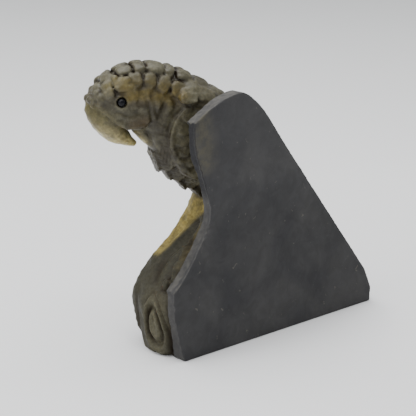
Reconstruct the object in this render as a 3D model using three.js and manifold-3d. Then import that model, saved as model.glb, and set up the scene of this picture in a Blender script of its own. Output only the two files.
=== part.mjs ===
// A parrot carved from one block of labradorite. It leans out over a tree trunk that is its plinth.
// Millimetres, +Z up. The origin is on the underside, in the middle of the slab's foot.
// +X is the side that the bird looks out of, and the sawn back faces +Y.

import * as THREE from 'three';
import { mergeVertices } from 'three/addons/utils/BufferGeometryUtils.js';
import Module from 'manifold-3d';

const wasm = await Module();
wasm.setup();

// Driving dimensions: the slab and the plinth
const FOOT_WIDTH = 95;
const BACK_Y = 15;
const CRUST = { thickness: 6, bevel: 2.2, bevelRise: 12 };
const GROUND = { thickness: 5, overlap: 0.5 };
const PLINTH = { height: 7, inset: 0.4, lean: 3, ripple: 1.2, ripplePitch: 18 };

// Driving dimensions: the bird. Its turns and angles are in degrees.
const NAPE_X = 16.2;
const HEAD_TURN = 25;
const EYE = { forward: 38.3, side: 7.7, height: 88.8 };
const BEAD = { radius: 1.6, fit: 0.3, sides: 10, rings: 7 };
const FACE = { halfWidth: 8.5, middle: [34, 85], bulge: 0.0125 };
const RIDGE_ROW = { turn: 16, width: 5.9, height: 2 };
const MIDDLE_ROW = { turn: 47, width: 5.9, height: 1.6 };
const SHINGLE = { size: [8.6, 8.6, 2.2], highest: 0.4, pitch: 0.1, lift: 0.14 };
const NEAR_WING = { forward: 10.4, side: 6.4, height: 73.6, reach: [11.4, 3.3, 14], flatness: 0.45 };
const FAR_WING = { root: [17, -9, 72], size: [44, 27, 8.5], skinY: -16.2 };
const WING_SCALE = { rows: 3, columns: 4, pitch: 5.6, size: [8.4, 6.2, 2.4] };
const WING_QUILL = { count: 6, longest: 34, step: 3.2, pitch: 3.1, width: 5.2, height: 3.6, skinY: -13 };
const TAIL_QUILL = { count: 4, middle: [-31, -5.5, 17], pitch: 3.4, step: 1.5, size: [32, 4.6, 3.2] };
const TOE = { count: 3, first: [4, -12.2, 51.4], pitch: 4.4, drop: 2, size: [10, 3.6, 2.4] };

// Driving dimensions: the trunk, as oval rings from the foot up, and what is carved on it
const TRUNK = { height: 56, squareness: 3.2, sides: 30, rings: 8 };
const TRUNK_MIDDLE_X = [27.6, 27, 26.4, 23, 17.4, 12.7, 10.5];
const TRUNK_MIDDLE_Y = [0.5, -1.5, -2.2, -2.8, -3, -3, -3];
const TRUNK_REACH_X = [21.4, 22, 22.6, 20, 15.7, 12.8, 11.6];
const TRUNK_REACH_Y = [10.4, 14.4, 15.8, 13.6, 10.4, 9, 8.6];
const BARK = { ridges: 9, depth: 0.035, twist: 2.2 };
const KNOT = { x: 49.2, y: 2, stretch: 1.1, lean: -2.4, taper: 0.3, reachZ: 10.8, height: 10.5 };
const OUTER_RIM = { reachY: 5.2, reachZ: 8.9, tube: 1.2 };
const INNER_RIM = { reachY: 2.9, reachZ: 5.6, tube: 0.9 };
const HEART = { size: [9, 3.2, 2.1] };

// Each lump is a six-sided pebble, so that the carving stays light. The cobbles of the crest have
// eight sides, and their corners are swelled towards a block's.
const LUMP_SIDES = 6;
const LUMP_RINGS = 4;
const COBBLE_SIDES = 8;
const COBBLE_SWELL = 0.55;

// The joints between the crest's cobbles, as shares of the way along the neck, forehead first
const CREST_JOINTS = [0.995, 0.935, 0.843, 0.746, 0.634, 0.541, 0.417, 0.356, 0.245, 0.141, 0.047];

const STONE_FINISH = new THREE.MeshStandardMaterial({ color: 0x5f5c52, roughness: 0.42, metalness: 0 });
const BEAD_FINISH = new THREE.MeshStandardMaterial({ color: 0x0d0e12, roughness: 0.12, metalness: 0 });

const degrees = THREE.MathUtils.degToRad;
const vector = (numbers) => new THREE.Vector3(...numbers);
const vector2 = (numbers) => new THREE.Vector2(...numbers);

// The bird's own frame: x runs forward from the nape, y out to the near side, z up
const birdFrame = new THREE.Matrix4()
  .makeRotationZ(degrees(-HEAD_TURN))
  .setPosition(NAPE_X, 0, 0);

// The wing and tail follow the slab's long slope: down it, and across it
const DOWN_SLOPE = vector([-0.62, 0, -0.785]);
const ACROSS_SLOPE = vector([0.785, 0, -0.62]);
const FRONT = vector([0, -1, 0]);

// A value that runs smoothly through evenly spaced stations, for t from 0 to 1
function smoothly(values) {
  const curve = new THREE.SplineCurve(values.map((value, i) => new THREE.Vector2(i, value)));
  return (t) => curve.getPoint(t).y;
}

function moveVertices(geometry, move) {
  const position = geometry.attributes.position;
  const vertex = new THREE.Vector3();
  for (let i = 0; i < position.count; i += 1) {
    vertex.fromBufferAttribute(position, i);
    move(vertex);
    position.setXYZ(i, vertex.x, vertex.y, vertex.z);
  }
  return geometry;
}

// Turns a closed geometry into a solid whose faces point outwards
function solid(geometry) {
  const bare = geometry.clone();
  bare.deleteAttribute('normal');
  bare.deleteAttribute('uv');
  const merged = mergeVertices(bare, 1e-4);
  const position = merged.attributes.position;
  const corners = [];
  const [a, b, c] = [new THREE.Vector3(), new THREE.Vector3(), new THREE.Vector3()];
  let volume = 0;
  for (let i = 0; i < merged.index.count; i += 3) {
    const face = [0, 1, 2].map((corner) => merged.index.getX(i + corner));
    if (new Set(face).size === 3) {
      corners.push(...face);
      a.fromBufferAttribute(position, face[0]);
      b.fromBufferAttribute(position, face[1]);
      c.fromBufferAttribute(position, face[2]);
      volume += a.dot(b.cross(c));
    }
  }
  if (volume < 0) {
    for (let i = 0; i < corners.length; i += 3) {
      [corners[i], corners[i + 1]] = [corners[i + 1], corners[i]];
    }
  }
  return new wasm.Manifold(new wasm.Mesh({
    numProp: 3,
    vertProperties: new Float32Array(position.array),
    triVerts: new Uint32Array(corners),
  }));
}

const join = (solids) => solids.reduce((whole, next) => whole.add(next));

// A tapering body between an upper and a lower line, both drawn as [x, z], with oval sections
function horn(upper, lower, halfWidths) {
  const top = new THREE.SplineCurve(upper.map(vector2));
  const bottom = new THREE.SplineCurve(lower.map(vector2));
  const width = smoothly(halfWidths);
  // turn 0 is the upper line and 90 degrees the near side; out 1 is the surface
  const point = (t, turn, out = 1) => {
    const high = top.getPoint(t);
    const low = bottom.getPoint(t);
    const rise = Math.cos(turn) * out;
    return new THREE.Vector3(
      (high.x + low.x) / 2 + ((high.x - low.x) / 2) * rise,
      width(t) * Math.sin(turn) * out,
      (high.y + low.y) / 2 + ((high.y - low.y) / 2) * rise,
    );
  };
  const body = (around, along) => moveVertices(
    new THREE.CylinderGeometry(1, 1, 1, around, along),
    (v) => v.copy(point(
      THREE.MathUtils.clamp(v.y + 0.5, 0, 1),
      Math.atan2(v.z, v.x),
      Math.hypot(v.x, v.z),
    )),
  );
  return { point, body };
}

// Lays a shape that fills a ball of radius 1 at a place, along its length, with its crown out
function lay(shape, at, along, out, [length, width, height]) {
  const lengthwise = along.clone().normalize();
  const across = lengthwise.clone().cross(out).normalize();
  const crown = across.clone().cross(lengthwise);
  shape.scale(width / 2, length / 2, height);
  shape.applyMatrix4(new THREE.Matrix4().makeBasis(across, lengthwise, crown));
  return shape.translate(at.x, at.y, at.z);
}

// A flattened pebble
function lump(at, along, out, size, sides = LUMP_SIDES, rings = LUMP_RINGS) {
  return lay(new THREE.SphereGeometry(1, sides, rings), at, along, out, size);
}

// A squared pebble, like a worn paving stone
function cobble(at, along, out, size) {
  const swell = (value) => Math.sign(value) * Math.abs(value) ** COBBLE_SWELL;
  const ball = new THREE.SphereGeometry(1, COBBLE_SIDES, LUMP_RINGS);
  const block = moveVertices(ball, (v) => v.set(swell(v.x), swell(v.y), swell(v.z)));
  return lay(block, at, along, out, size);
}

// A place on a horn's surface, with the ways along it and out of it
function onHorn(form, t, turn) {
  const step = 0.01;
  const at = form.point(t, turn);
  const along = form.point(t + step, turn).sub(form.point(t - step, turn)).normalize();
  const around = form.point(t, turn + step).sub(form.point(t, turn - step));
  const out = along.clone().cross(around).normalize();
  if (out.dot(at.clone().sub(form.point(t, turn, 0))) < 0) out.negate();
  return { at, along, out };
}

// The slab's outline on the sawn back, drawn as [x, z]
function slabOutline() {
  const half = FOOT_WIDTH / 2;
  const longSlope = [
    [-43.9, 13.9], [-21.6, 42.4], [-0.8, 69.1], [9, 82.2], [15.7, 88.7], [20.1, 91.1],
  ];
  const shoulder = [[24.5, 90.9], [30.5, 89.5], [36.9, 86.8], [42.8, 83.6]];
  const hollow = [[41.9, 72.1], [37.7, 60.4], [35.6, 50.9], [38.4, 43.2], [46.8, 31.5], [52.6, 25.9]];
  const outline = new THREE.Shape();
  outline.moveTo(half, 0);
  outline.lineTo(-half, 0);
  outline.lineTo(-half - 0.3, 5.4);
  outline.lineTo(...longSlope[0]);
  outline.splineThru(longSlope.slice(1).map(vector2));
  outline.splineThru(shoulder.map(vector2));
  outline.splineThru(hollow.map(vector2));
  outline.splineThru([[52.1, 15], [half, 0]].map(vector2));
  return outline;
}

// The polished ground behind the bird is set in from the crust, and far in beside the near wing
function groundOutline() {
  const longSlope = [[-21.4, 40.8], [-1.2, 66.4], [8.4, 79], [16, 87]];
  const besideWing = [[24, 88], [29.5, 81], [28.6, 68], [28, 54], [33.5, 43], [44.5, 29], [46.5, 14]];
  const outline = new THREE.Shape();
  outline.moveTo(45, 0);
  outline.lineTo(-47, 0);
  outline.lineTo(-47, 5.4);
  outline.lineTo(-43.4, 12.6);
  outline.splineThru(longSlope.map(vector2));
  outline.splineThru(besideWing.map(vector2));
  outline.closePath();
  return outline;
}

// A plate whose far edge is bevelled on the bird's side, above the foot
function plate(outline, backY, thickness, bevel) {
  const sheet = new THREE.ExtrudeGeometry(outline, {
    depth: thickness, steps: 2, bevelEnabled: false, curveSegments: 2,
  });
  sheet.rotateX(degrees(90)).translate(0, backY, 0);
  return solid(moveVertices(sheet, (v) => {
    const forward = THREE.MathUtils.clamp(((backY - v.y) / thickness) * 2, 0, 1);
    if (v.x > 0) v.x -= bevel * forward * Math.min(1, v.z / CRUST.bevelRise);
  }));
}

// The head and neck, from the breast up over the crown to the root of the beak
const neck = horn(
  [[-3, 84.4], [6.2, 91], [14, 95.5], [22.5, 98.6], [30, 99.5], [37.5, 98.2], [44.2, 93.6], [48.4, 88.6]],
  [[5.6, 52], [13.6, 56.4], [20.6, 61.4], [25.4, 67.4], [28, 75.6], [33.2, 77.3], [38.4, 81], [44, 85]],
  [8.6, 8.6, 8.4, 8.3, 8.5, 8.6, 7.6, 4.8],
);

const headAndNeck = () => solid(neck.body(14, 12));

// The face is a gently domed plate on each side of the head. Its front edge slants down to the
// beak's root, and its lower edge is the jaw.
function face() {
  const outline = [
    [48, 88.2], [45.6, 86.3], [43.2, 84], [40.9, 81.9], [38.6, 80.2], [36.3, 78.7], [31.1, 79.1],
    [28.7, 79.5], [27.9, 81.3], [28.3, 84], [29.5, 88], [33, 92], [38, 93.6], [43, 93], [47, 91],
  ].map(vector2);
  const middle = vector2(FACE.middle);
  const disc = new THREE.CylinderGeometry(1, 1, 2, outline.length, 1);
  return solid(moveVertices(disc, (v) => {
    const corner = Math.round((Math.atan2(v.x, v.z) / (2 * Math.PI)) * outline.length);
    const reached = Math.hypot(v.x, v.z) > 0.5;
    const place = reached ? outline[(corner + outline.length) % outline.length] : middle;
    const side = FACE.halfWidth - FACE.bulge * place.distanceToSquared(middle);
    v.set(place.x, side * Math.sign(v.y), place.y);
  }));
}

function beak() {
  const hook = horn(
    [[48.6, 88.6], [49.2, 84.6], [47.9, 80.8], [45.5, 77.7], [42.5, 74.9], [39, 72.8], [32.2, 71.2]],
    [[38, 89], [36.6, 85.5], [35.8, 82.6], [35.4, 80.4], [35, 78.8], [33.8, 76.5], [31.2, 72.7]],
    [5, 5.6, 6.2, 6.2, 5.4, 4.2, 1.2],
  );
  return solid(hook.body(12, 10));
}

// The thin web of stone that is left between the throat and the breast
function throat() {
  const web = horn(
    [[33.2, 81], [31.4, 80], [29.6, 79], [27, 76]],
    [[33, 77], [30, 73.6], [26.6, 70.6], [23.2, 68]],
    [3, 3.4, 3.8, 4],
  );
  return solid(web.body(8, 4));
}

// The crest: two rows of square cobbles on each side of the ridge. The lower row is shifted by half
// a cobble. The first cobbles in front are worn to half their height.
function crest() {
  const shifted = CREST_JOINTS.slice(1).map((joint, i) => (joint + CREST_JOINTS[i]) / 2);
  const cobbles = [];
  [[RIDGE_ROW, CREST_JOINTS], [MIDDLE_ROW, shifted]].forEach(([row, joints]) => {
    const turn = degrees(row.turn);
    joints.slice(1).forEach((rear, i) => {
      const t = (joints[i] + rear) / 2;
      const length = neck.point(joints[i], turn).distanceTo(neck.point(rear, turn));
      const height = row.height * (t > 0.85 ? 0.5 : 1);
      [-1, 1].forEach((side) => {
        const { at, along, out } = onHorn(neck, t, side * turn);
        cobbles.push(solid(cobble(at, along, out, [length * 0.99, row.width, height])));
      });
    });
  });
  return join(cobbles);
}

// The breast: shingles that lap downwards from the throat to the belly, in staggered rows. Each
// lifts its lower tip.
function breast() {
  const rows = [[180, 4, 0], [143, 4, 0.05], [217, 4, 0.05], [110, 3, 0.1], [250, 3, 0.1]];
  const shingles = [];
  rows.forEach(([turn, count, lower]) => {
    for (let i = 0; i < count; i += 1) {
      const t = Math.max(SHINGLE.highest - SHINGLE.pitch * i - lower, 0.03);
      const { at, along, out } = onHorn(neck, t, degrees(turn));
      const lifted = along.clone().addScaledVector(out, -SHINGLE.lift);
      shingles.push(solid(lump(at, lifted, out, SHINGLE.size)));
    }
  });
  return join(shingles);
}

// The torso runs from the shoulders down the slab's long slope to the tail
function torso() {
  const trunkOfBird = horn(
    [[21, 87], [9.5, 77.5], [-1, 64], [-13, 48.5], [-25, 33], [-37, 18], [-45.5, 7.5]],
    [[31, 73], [29, 61], [21, 50.5], [9, 38], [-6, 24], [-21, 10.5], [-35, 1]],
    [8, 14, 16, 15, 12.5, 9.5, 7],
  );
  return solid(trunkOfBird.body(16, 10));
}

// The near wing's shoulder is a flat pad with a rounded rim, between the neck and the crust
function nearWing() {
  const [reachX, reachY, reachZ] = NEAR_WING.reach;
  return solid(moveVertices(new THREE.SphereGeometry(1, 16, 8), (v) => {
    const flat = Math.sign(v.y) * Math.abs(v.y) ** NEAR_WING.flatness;
    v.set(
      NEAR_WING.forward + reachX * v.x,
      NEAR_WING.side + reachY * flat,
      NEAR_WING.height + reachZ * v.z,
    );
  }));
}

// The nape swells out above the near wing and carries two broad scales
function nape() {
  const swelling = lump(vector([9.5, 4.6, 84.5]), vector([0.75, 0, 0.6]), vector([0, 1, 0.2]), [24, 15, 5]);
  const scales = [[14.6, 8.4, 89.6], [8.6, 7.4, 89]].map((place) => (
    cobble(vector(place), vector([-1, 0, -0.35]), vector([-0.1, 1, 0.75]), [7, 6, 1.4])));
  return join([swelling, ...scales].map(solid));
}

// The far wing lies folded on the polished front: scales on the shoulder, then long quills
function farWing() {
  const root = vector(FAR_WING.root);
  const face = vector([-0.1, -1, 0.05]);
  const along = (down, across) => root.clone()
    .addScaledVector(DOWN_SLOPE, down)
    .addScaledVector(ACROSS_SLOPE, across);
  const feathers = [lump(along(12, 0), DOWN_SLOPE, face, FAR_WING.size, 12, 8)];
  for (let row = 0; row < WING_SCALE.rows; row += 1) {
    for (let column = 0; column < WING_SCALE.columns; column += 1) {
      const sideways = (column - 1.5 + (row % 2) * 0.5) * WING_SCALE.pitch;
      const at = along(row * 6 - 2, sideways * (0.8 + row * 0.12));
      at.y = FAR_WING.skinY + Math.abs(sideways) * 0.28;
      feathers.push(lump(at, DOWN_SLOPE, face, WING_SCALE.size));
    }
  }
  for (let i = 0; i < WING_QUILL.count; i += 1) {
    const sideways = (i - 2.5) * WING_QUILL.pitch;
    const length = WING_QUILL.longest - i * WING_QUILL.step;
    const at = along(17 + length / 2, sideways);
    at.y = WING_QUILL.skinY + Math.abs(sideways) * 0.25;
    feathers.push(lump(at, DOWN_SLOPE, face, [length, WING_QUILL.width, WING_QUILL.height]));
  }
  return join(feathers.map(solid));
}

function tail() {
  const quills = [];
  for (let i = 0; i < TAIL_QUILL.count; i += 1) {
    const at = vector(TAIL_QUILL.middle)
      .addScaledVector(ACROSS_SLOPE, (i - 1.5) * TAIL_QUILL.pitch)
      .addScaledVector(DOWN_SLOPE, -i * TAIL_QUILL.step);
    quills.push(solid(lump(at, DOWN_SLOPE, FRONT, TAIL_QUILL.size)));
  }
  return join(quills);
}

// The trunk's rings are rounded oblongs, and bark ridges run down and outwards over them
function trunk() {
  const middleX = smoothly(TRUNK_MIDDLE_X);
  const middleY = smoothly(TRUNK_MIDDLE_Y);
  const reachX = smoothly(TRUNK_REACH_X);
  const reachY = smoothly(TRUNK_REACH_Y);
  const power = TRUNK.squareness;
  const log = new THREE.CylinderGeometry(1, 1, 1, TRUNK.sides, TRUNK.rings);
  return solid(moveVertices(log, (v) => {
    const t = THREE.MathUtils.clamp(v.y + 0.5, 0, 1);
    const turn = Math.atan2(v.z, v.x);
    const ridge = 1 + BARK.depth * Math.cos(BARK.ridges * turn + BARK.twist * t);
    const oblong = (Math.abs(Math.cos(turn)) ** power + Math.abs(Math.sin(turn)) ** power) ** (-1 / power);
    const out = Math.hypot(v.x, v.z) * ridge * oblong;
    v.set(
      middleX(t) + reachX(t) * Math.cos(turn) * out,
      middleY(t) + reachY(t) * Math.sin(turn) * out,
      t * TRUNK.height,
    );
  }));
}

// The knot on the trunk's outer side: two raised rims round a pointed heart. It leans a little and
// is narrower at the top.
function knot() {
  const roundRadius = 10;
  const rim = ({ reachY, reachZ, tube }) => {
    const ring = new THREE.TorusGeometry(roundRadius, tube, 5, 16);
    return solid(moveVertices(ring, (v) => {
      const turn = Math.atan2(v.y, v.x);
      const out = Math.hypot(v.x, v.y) - roundRadius;
      const rise = Math.sin(turn) * (reachZ + out);
      const share = rise / KNOT.reachZ;
      const aside = Math.cos(turn) * (reachY * (1 - KNOT.taper * share) + out);
      v.set(KNOT.x + v.z * KNOT.stretch, KNOT.y + KNOT.lean * share + aside, KNOT.height + rise);
    }));
  };
  const heart = lump(
    vector([KNOT.x, KNOT.y, KNOT.height]),
    vector([0, KNOT.lean, KNOT.reachZ]),
    vector([1, 0, 0]),
    HEART.size,
  );
  return join([rim(OUTER_RIM), rim(INNER_RIM), solid(heart)]);
}

// The perch runs out of the trunk's top towards the front, and the toes close round it
function perch() {
  const branch = horn(
    [[3, 53], [10, 54], [17.4, 52], [23.8, 46], [28.8, 39]],
    [[2, 42], [10, 40], [16, 37], [22, 33], [27, 29]],
    [7, 7.4, 6.4, 5, 3.2],
  );
  return solid(branch.body(10, 6).translate(0, -6, 0));
}

function toes() {
  const overPerch = vector([0.5, -0.8, -1]);
  const knuckleUp = vector([0.2, -1, 0.6]);
  const claws = [];
  for (let i = 0; i < TOE.count; i += 1) {
    const at = vector(TOE.first).add(vector([i * TOE.pitch, 0, -i * TOE.drop]));
    claws.push(solid(lump(at, overPerch, knuckleUp, TOE.size)));
  }
  return join(claws);
}

// The low plinth that joins the trunk's foot to the tip of the tail
function plinth() {
  const farEnd = -FOOT_WIDTH / 2 + PLINTH.inset;
  const joint = BACK_Y - CRUST.thickness + 1;
  const front = [[-42, -8.5], [-28, -11], [-10, -14], [10, -17], [24, -17], [34, -12.5], [41, -5]];
  const plan = new THREE.Shape();
  plan.moveTo(43, joint);
  plan.lineTo(farEnd, joint);
  plan.lineTo(farEnd, -4);
  plan.splineThru(front.map(vector2));
  plan.closePath();
  const step = new THREE.ExtrudeGeometry(plan, {
    depth: PLINTH.height, steps: 2, bevelEnabled: false, curveSegments: 2,
  });
  return solid(moveVertices(step, (v) => {
    const rise = v.z / PLINTH.height;
    if (v.y < 0) v.y += PLINTH.lean * rise ** 2;
    v.z += rise * PLINTH.ripple * Math.sin((v.x * 2 * Math.PI) / PLINTH.ripplePitch);
  }));
}

// The eyes: a bead in a round socket on each side of the head
function bead(side, radius) {
  const ball = new THREE.SphereGeometry(radius, BEAD.sides, BEAD.rings);
  ball.translate(EYE.forward, side * EYE.side, EYE.height);
  return solid(ball.applyMatrix4(birdFrame));
}

// The space in front of the crust and above the table, which trims everything that is carved
function carvingRoom() {
  const size = [200, 100, 150];
  const room = new THREE.BoxGeometry(...size);
  const frontOfCrust = BACK_Y - CRUST.thickness + GROUND.overlap;
  return solid(room.translate(0, frontOfCrust - size[1] / 2, size[2] / 2));
}

function carving() {
  const birdParts = [
    headAndNeck(), face(), beak(), throat(), crest(), breast(), nearWing(), nape(),
  ];
  const bird = join(birdParts).transform(birdFrame.elements);
  const crust = plate(slabOutline(), BACK_Y, CRUST.thickness, CRUST.bevel);
  const groundBack = BACK_Y - CRUST.thickness + GROUND.overlap;
  const ground = plate(groundOutline(), groundBack, GROUND.thickness, 0);
  const stone = join([
    bird, torso(), farWing(), tail(), trunk(), knot(), perch(), toes(), plinth(), ground,
  ]);
  const sockets = join([-1, 1].map((side) => bead(side, BEAD.radius + BEAD.fit)));
  return stone.intersect(carvingRoom()).add(crust).subtract(sockets);
}

// Where many lumps meet, slivers of trapped space are left inside the stone. This keeps the one
// outer skin: the connected set of faces that encloses the most.
function outerSkin(vertices, faces) {
  const parent = Array.from({ length: vertices.length / 3 }, (_, i) => i);
  const root = (i) => {
    let top = i;
    while (parent[top] !== top) top = parent[top];
    parent[i] = top;
    return top;
  };
  for (let i = 0; i < faces.length; i += 3) {
    parent[root(faces[i + 1])] = root(faces[i]);
    parent[root(faces[i + 2])] = root(faces[i]);
  }
  const corner = (i) => new THREE.Vector3().fromArray(vertices, faces[i] * 3);
  const volumes = new Map();
  for (let i = 0; i < faces.length; i += 3) {
    const skin = root(faces[i]);
    const wedge = corner(i).dot(corner(i + 1).cross(corner(i + 2)));
    volumes.set(skin, (volumes.get(skin) ?? 0) + wedge);
  }
  const [outer] = [...volumes].reduce((best, next) => (next[1] > best[1] ? next : best));
  return faces.filter((_, i) => root(faces[i - (i % 3)]) === outer);
}

function meshOf(name, shape, finish) {
  const { vertProperties, triVerts } = shape.getMesh();
  const geometry = new THREE.BufferGeometry();
  geometry.setAttribute('position', new THREE.BufferAttribute(vertProperties, 3));
  geometry.setIndex(new THREE.BufferAttribute(outerSkin(vertProperties, triVerts), 1));
  geometry.computeVertexNormals();
  const mesh = new THREE.Mesh(geometry, finish);
  mesh.name = name;
  return mesh;
}

const parrot = new THREE.Group();
parrot.add(meshOf('carving', carving(), STONE_FINISH));
parrot.add(meshOf('eye_left', bead(1, BEAD.radius), BEAD_FINISH));
parrot.add(meshOf('eye_right', bead(-1, BEAD.radius), BEAD_FINISH));

export default parrot;
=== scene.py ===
# %% [markdown]
# A parrot carved from labradorite
#
# The real object is one block of stone, about 10 cm tall. A carver left the sawn back and its dark
# crust as they were, and cut a parrot and a tree trunk out of the rest. This lesson carves the same
# block again in Blender. A stone carving has no seams and no repeated parts, so it suits a field of
# distances: a grid that stores how far each point is from the surface. Adding and cutting are then
# simple sums, and one mesh comes out at the end.

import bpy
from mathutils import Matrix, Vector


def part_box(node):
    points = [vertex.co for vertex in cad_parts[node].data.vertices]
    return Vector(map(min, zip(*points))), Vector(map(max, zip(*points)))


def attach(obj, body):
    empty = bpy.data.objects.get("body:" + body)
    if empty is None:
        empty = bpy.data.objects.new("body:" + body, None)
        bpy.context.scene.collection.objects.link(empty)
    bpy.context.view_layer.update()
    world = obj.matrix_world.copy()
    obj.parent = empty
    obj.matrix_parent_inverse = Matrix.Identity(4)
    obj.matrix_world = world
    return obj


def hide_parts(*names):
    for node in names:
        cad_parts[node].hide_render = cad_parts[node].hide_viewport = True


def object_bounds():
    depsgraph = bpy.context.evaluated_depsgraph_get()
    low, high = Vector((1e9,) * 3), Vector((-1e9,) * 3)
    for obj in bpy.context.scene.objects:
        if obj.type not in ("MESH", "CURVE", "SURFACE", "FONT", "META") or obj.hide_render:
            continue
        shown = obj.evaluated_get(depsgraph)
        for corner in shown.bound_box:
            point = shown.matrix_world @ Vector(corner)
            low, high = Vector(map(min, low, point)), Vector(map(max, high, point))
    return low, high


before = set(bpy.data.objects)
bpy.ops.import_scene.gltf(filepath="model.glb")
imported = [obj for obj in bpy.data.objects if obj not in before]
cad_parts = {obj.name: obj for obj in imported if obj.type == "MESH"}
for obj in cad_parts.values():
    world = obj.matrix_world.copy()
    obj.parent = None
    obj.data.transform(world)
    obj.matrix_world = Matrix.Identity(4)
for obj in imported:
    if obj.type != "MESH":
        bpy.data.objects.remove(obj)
cad_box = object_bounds()
print("nodes:", sorted(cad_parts))

# %% [markdown]
# The camera stands behind the carving and a little to its side, as in the photograph. A long lens
# from 60 cm away keeps the slab's edges almost parallel. The place is worked out from two angles,
# because angles are easier to judge than a position.

# %% Camera
import math

import bpy
import numpy as np
from mathutils import Vector

CAMERA_AZIMUTH = math.radians(137.2)
CAMERA_ELEVATION = math.radians(16.2)
CAMERA_DISTANCE = 0.600
LOOK_AT = Vector((0.0229, 0.0, 0.0474))

view_from = Vector((
    math.sin(CAMERA_AZIMUTH) * math.cos(CAMERA_ELEVATION),
    -math.cos(CAMERA_AZIMUTH) * math.cos(CAMERA_ELEVATION),
    math.sin(CAMERA_ELEVATION),
))
lens = bpy.data.cameras.new("camera")
lens.sensor_width = 36
lens.lens = 146.9
camera = bpy.data.objects.new("camera", lens)
camera.location = LOOK_AT + view_from * CAMERA_DISTANCE
camera.rotation_euler = (-view_from).to_track_quat("-Z", "Y").to_euler()
bpy.context.scene.collection.objects.link(camera)
bpy.context.scene.camera = camera
print("camera at", [round(c, 3) for c in camera.location])

# %% [markdown]
# The block starts as a grid of samples. Each sample holds its distance to the stone in millimetres,
# positive in the air and negative in the stone. The grid is fine enough for a feather's edge, and
# distances beyond a few millimetres are never needed, so they are cut off at one value.

# %% The grid of distances
import openvdb

STEP = 0.4
FAR = 8 * STEP
GRID_LOW = np.round(np.array((-50.0, -28.4, -2.0)) / STEP).astype(int)
GRID_HIGH = np.round(np.array((65.2, 17.6, 103.6)) / STEP).astype(int)
ticks = [np.arange(a, b, dtype=np.float32) * STEP for a, b in zip(GRID_LOW, GRID_HIGH)]


def new_field():
    """A grid with nothing but air in it."""
    return np.full([len(t) for t in ticks], FAR, np.float32)


def room(low, high):
    """The grid cells between two corners, with their coordinates."""
    starts = np.clip(np.floor(np.array(low) / STEP).astype(int) - GRID_LOW, 0, None)
    stops = np.clip(np.ceil(np.array(high) / STEP).astype(int) - GRID_LOW + 1, 1, None)
    cells = tuple(slice(a, b) for a, b in zip(starts, stops))
    return cells, np.ix_(*(t[cut] for t, cut in zip(ticks, cells)))


def least(a, b, reach=0.0):
    """The nearer of two distances. A reach rounds the valley where two forms meet."""
    joined = np.minimum(a, b)
    if reach > 0:
        near = np.clip(1 - np.abs(a - b) / reach, 0, None)
        joined = joined - near * near * reach / 4
    return joined


def add(field, cells, distance, reach=0.0):
    field[cells] = least(field[cells], distance, reach)


def cut(field, cells, distance, reach=0.0):
    field[cells] = -least(-field[cells], distance, reach)


def volume(field):
    """Cubic millimetres of stone in a field."""
    return round(float((field < 0).sum()) * STEP**3)


print("samples:", math.prod(len(t) for t in ticks))

# %% [markdown]
# Nothing on a carved bird is quite straight. Its lines could be drawn by hand as curve objects with
# handles. A formula that passes through a few points is easier to read and to change, so that is
# used for every line here. Its direction at a point follows the points on both sides.

# %% Smooth lines
def smooth_line(points, t):
    """A smooth curve through evenly spaced points, for t from 0 to 1."""
    points = np.asarray(points, float).reshape(len(points), -1)
    last = len(points) - 1
    t = np.atleast_1d(np.asarray(t, float))
    place = np.clip(t, 0, 1) * last
    i = np.minimum(place.astype(int), last - 1)
    w = (place - i)[:, None]
    before, start = points[np.maximum(i - 1, 0)], points[i]
    end, after = points[i + 1], points[np.minimum(i + 2, last)]
    leave, arrive = (end - before) / 2, (after - start) / 2
    return (
        (2 * start - 2 * end + leave + arrive) * w**3
        + (3 * end - 3 * start - 2 * leave - arrive) * w**2
        + leave * w
        + start
    )


print("a quarter of the way along a bend:", smooth_line([(0, 0), (10, 4), (20, 0)], 0.25).round(2))

# %% [markdown]
# A neck, a torso and a beak all taper along a curve. They could be modelled from a bent cylinder, but
# a carver marks the side of the block before cutting: an upper line, a lower line, and a half width
# between them. The same three are enough to describe the whole form, so they are used here.

# %% Tapering forms
def horn(upper, lower, half_widths):
    """The surface of a tapering body. Turn 0 is its upper line and 90 degrees its near side."""
    def point(t, turn, out=1.0):
        t, turn = np.broadcast_arrays(np.asarray(t, float), np.asarray(turn, float))
        high = smooth_line(upper, t.ravel()).reshape(*t.shape, 2)
        low = smooth_line(lower, t.ravel()).reshape(*t.shape, 2)
        width = smooth_line(half_widths, t.ravel()).reshape(t.shape)
        middle, rise = (high + low) / 2, (high - low) / 2
        up = np.cos(turn) * out
        return np.stack((
            middle[..., 0] + rise[..., 0] * up,
            width * np.sin(turn) * out,
            middle[..., 1] + rise[..., 1] * up,
        ), axis=-1)
    return point


spindle = horn([(0, 40), (20, 44), (40, 40)], [(0, 38), (20, 34), (40, 38)], [1, 5, 1])
print("top and side of a trial spindle:", spindle(0.5, 0.0).round(1), spindle(0.5, 1.57).round(1))

# %% [markdown]
# A tapering form becomes a closed mesh of rings, and the mesh becomes distances on the grid. A
# distance could be worked out for each form by its own formula, but only simple forms have one.
# Blender's own volume library does it for any closed mesh.

# %% From a closed mesh to distances
def tube_mesh(rings):
    """Vertices and triangles of rings of points, closed with a fan at each end."""
    count, sides, _ = rings.shape
    points = np.concatenate((rings.reshape(-1, 3), rings[[0, -1]].mean(axis=1)))
    faces = []
    side = np.arange(sides)
    after = (side + 1) % sides
    for ring in range(count - 1):
        a, b = ring * sides + side, ring * sides + after
        faces += [np.stack((a, b, b + sides), 1), np.stack((a, b + sides, a + sides), 1)]
    top = (count - 1) * sides
    faces.append(np.stack((after, side, np.full(sides, count * sides)), 1))
    faces.append(np.stack((top + side, top + after, np.full(sides, count * sides + 1)), 1))
    return points.astype(np.float32), np.concatenate(faces).astype(np.uint32)


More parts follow.
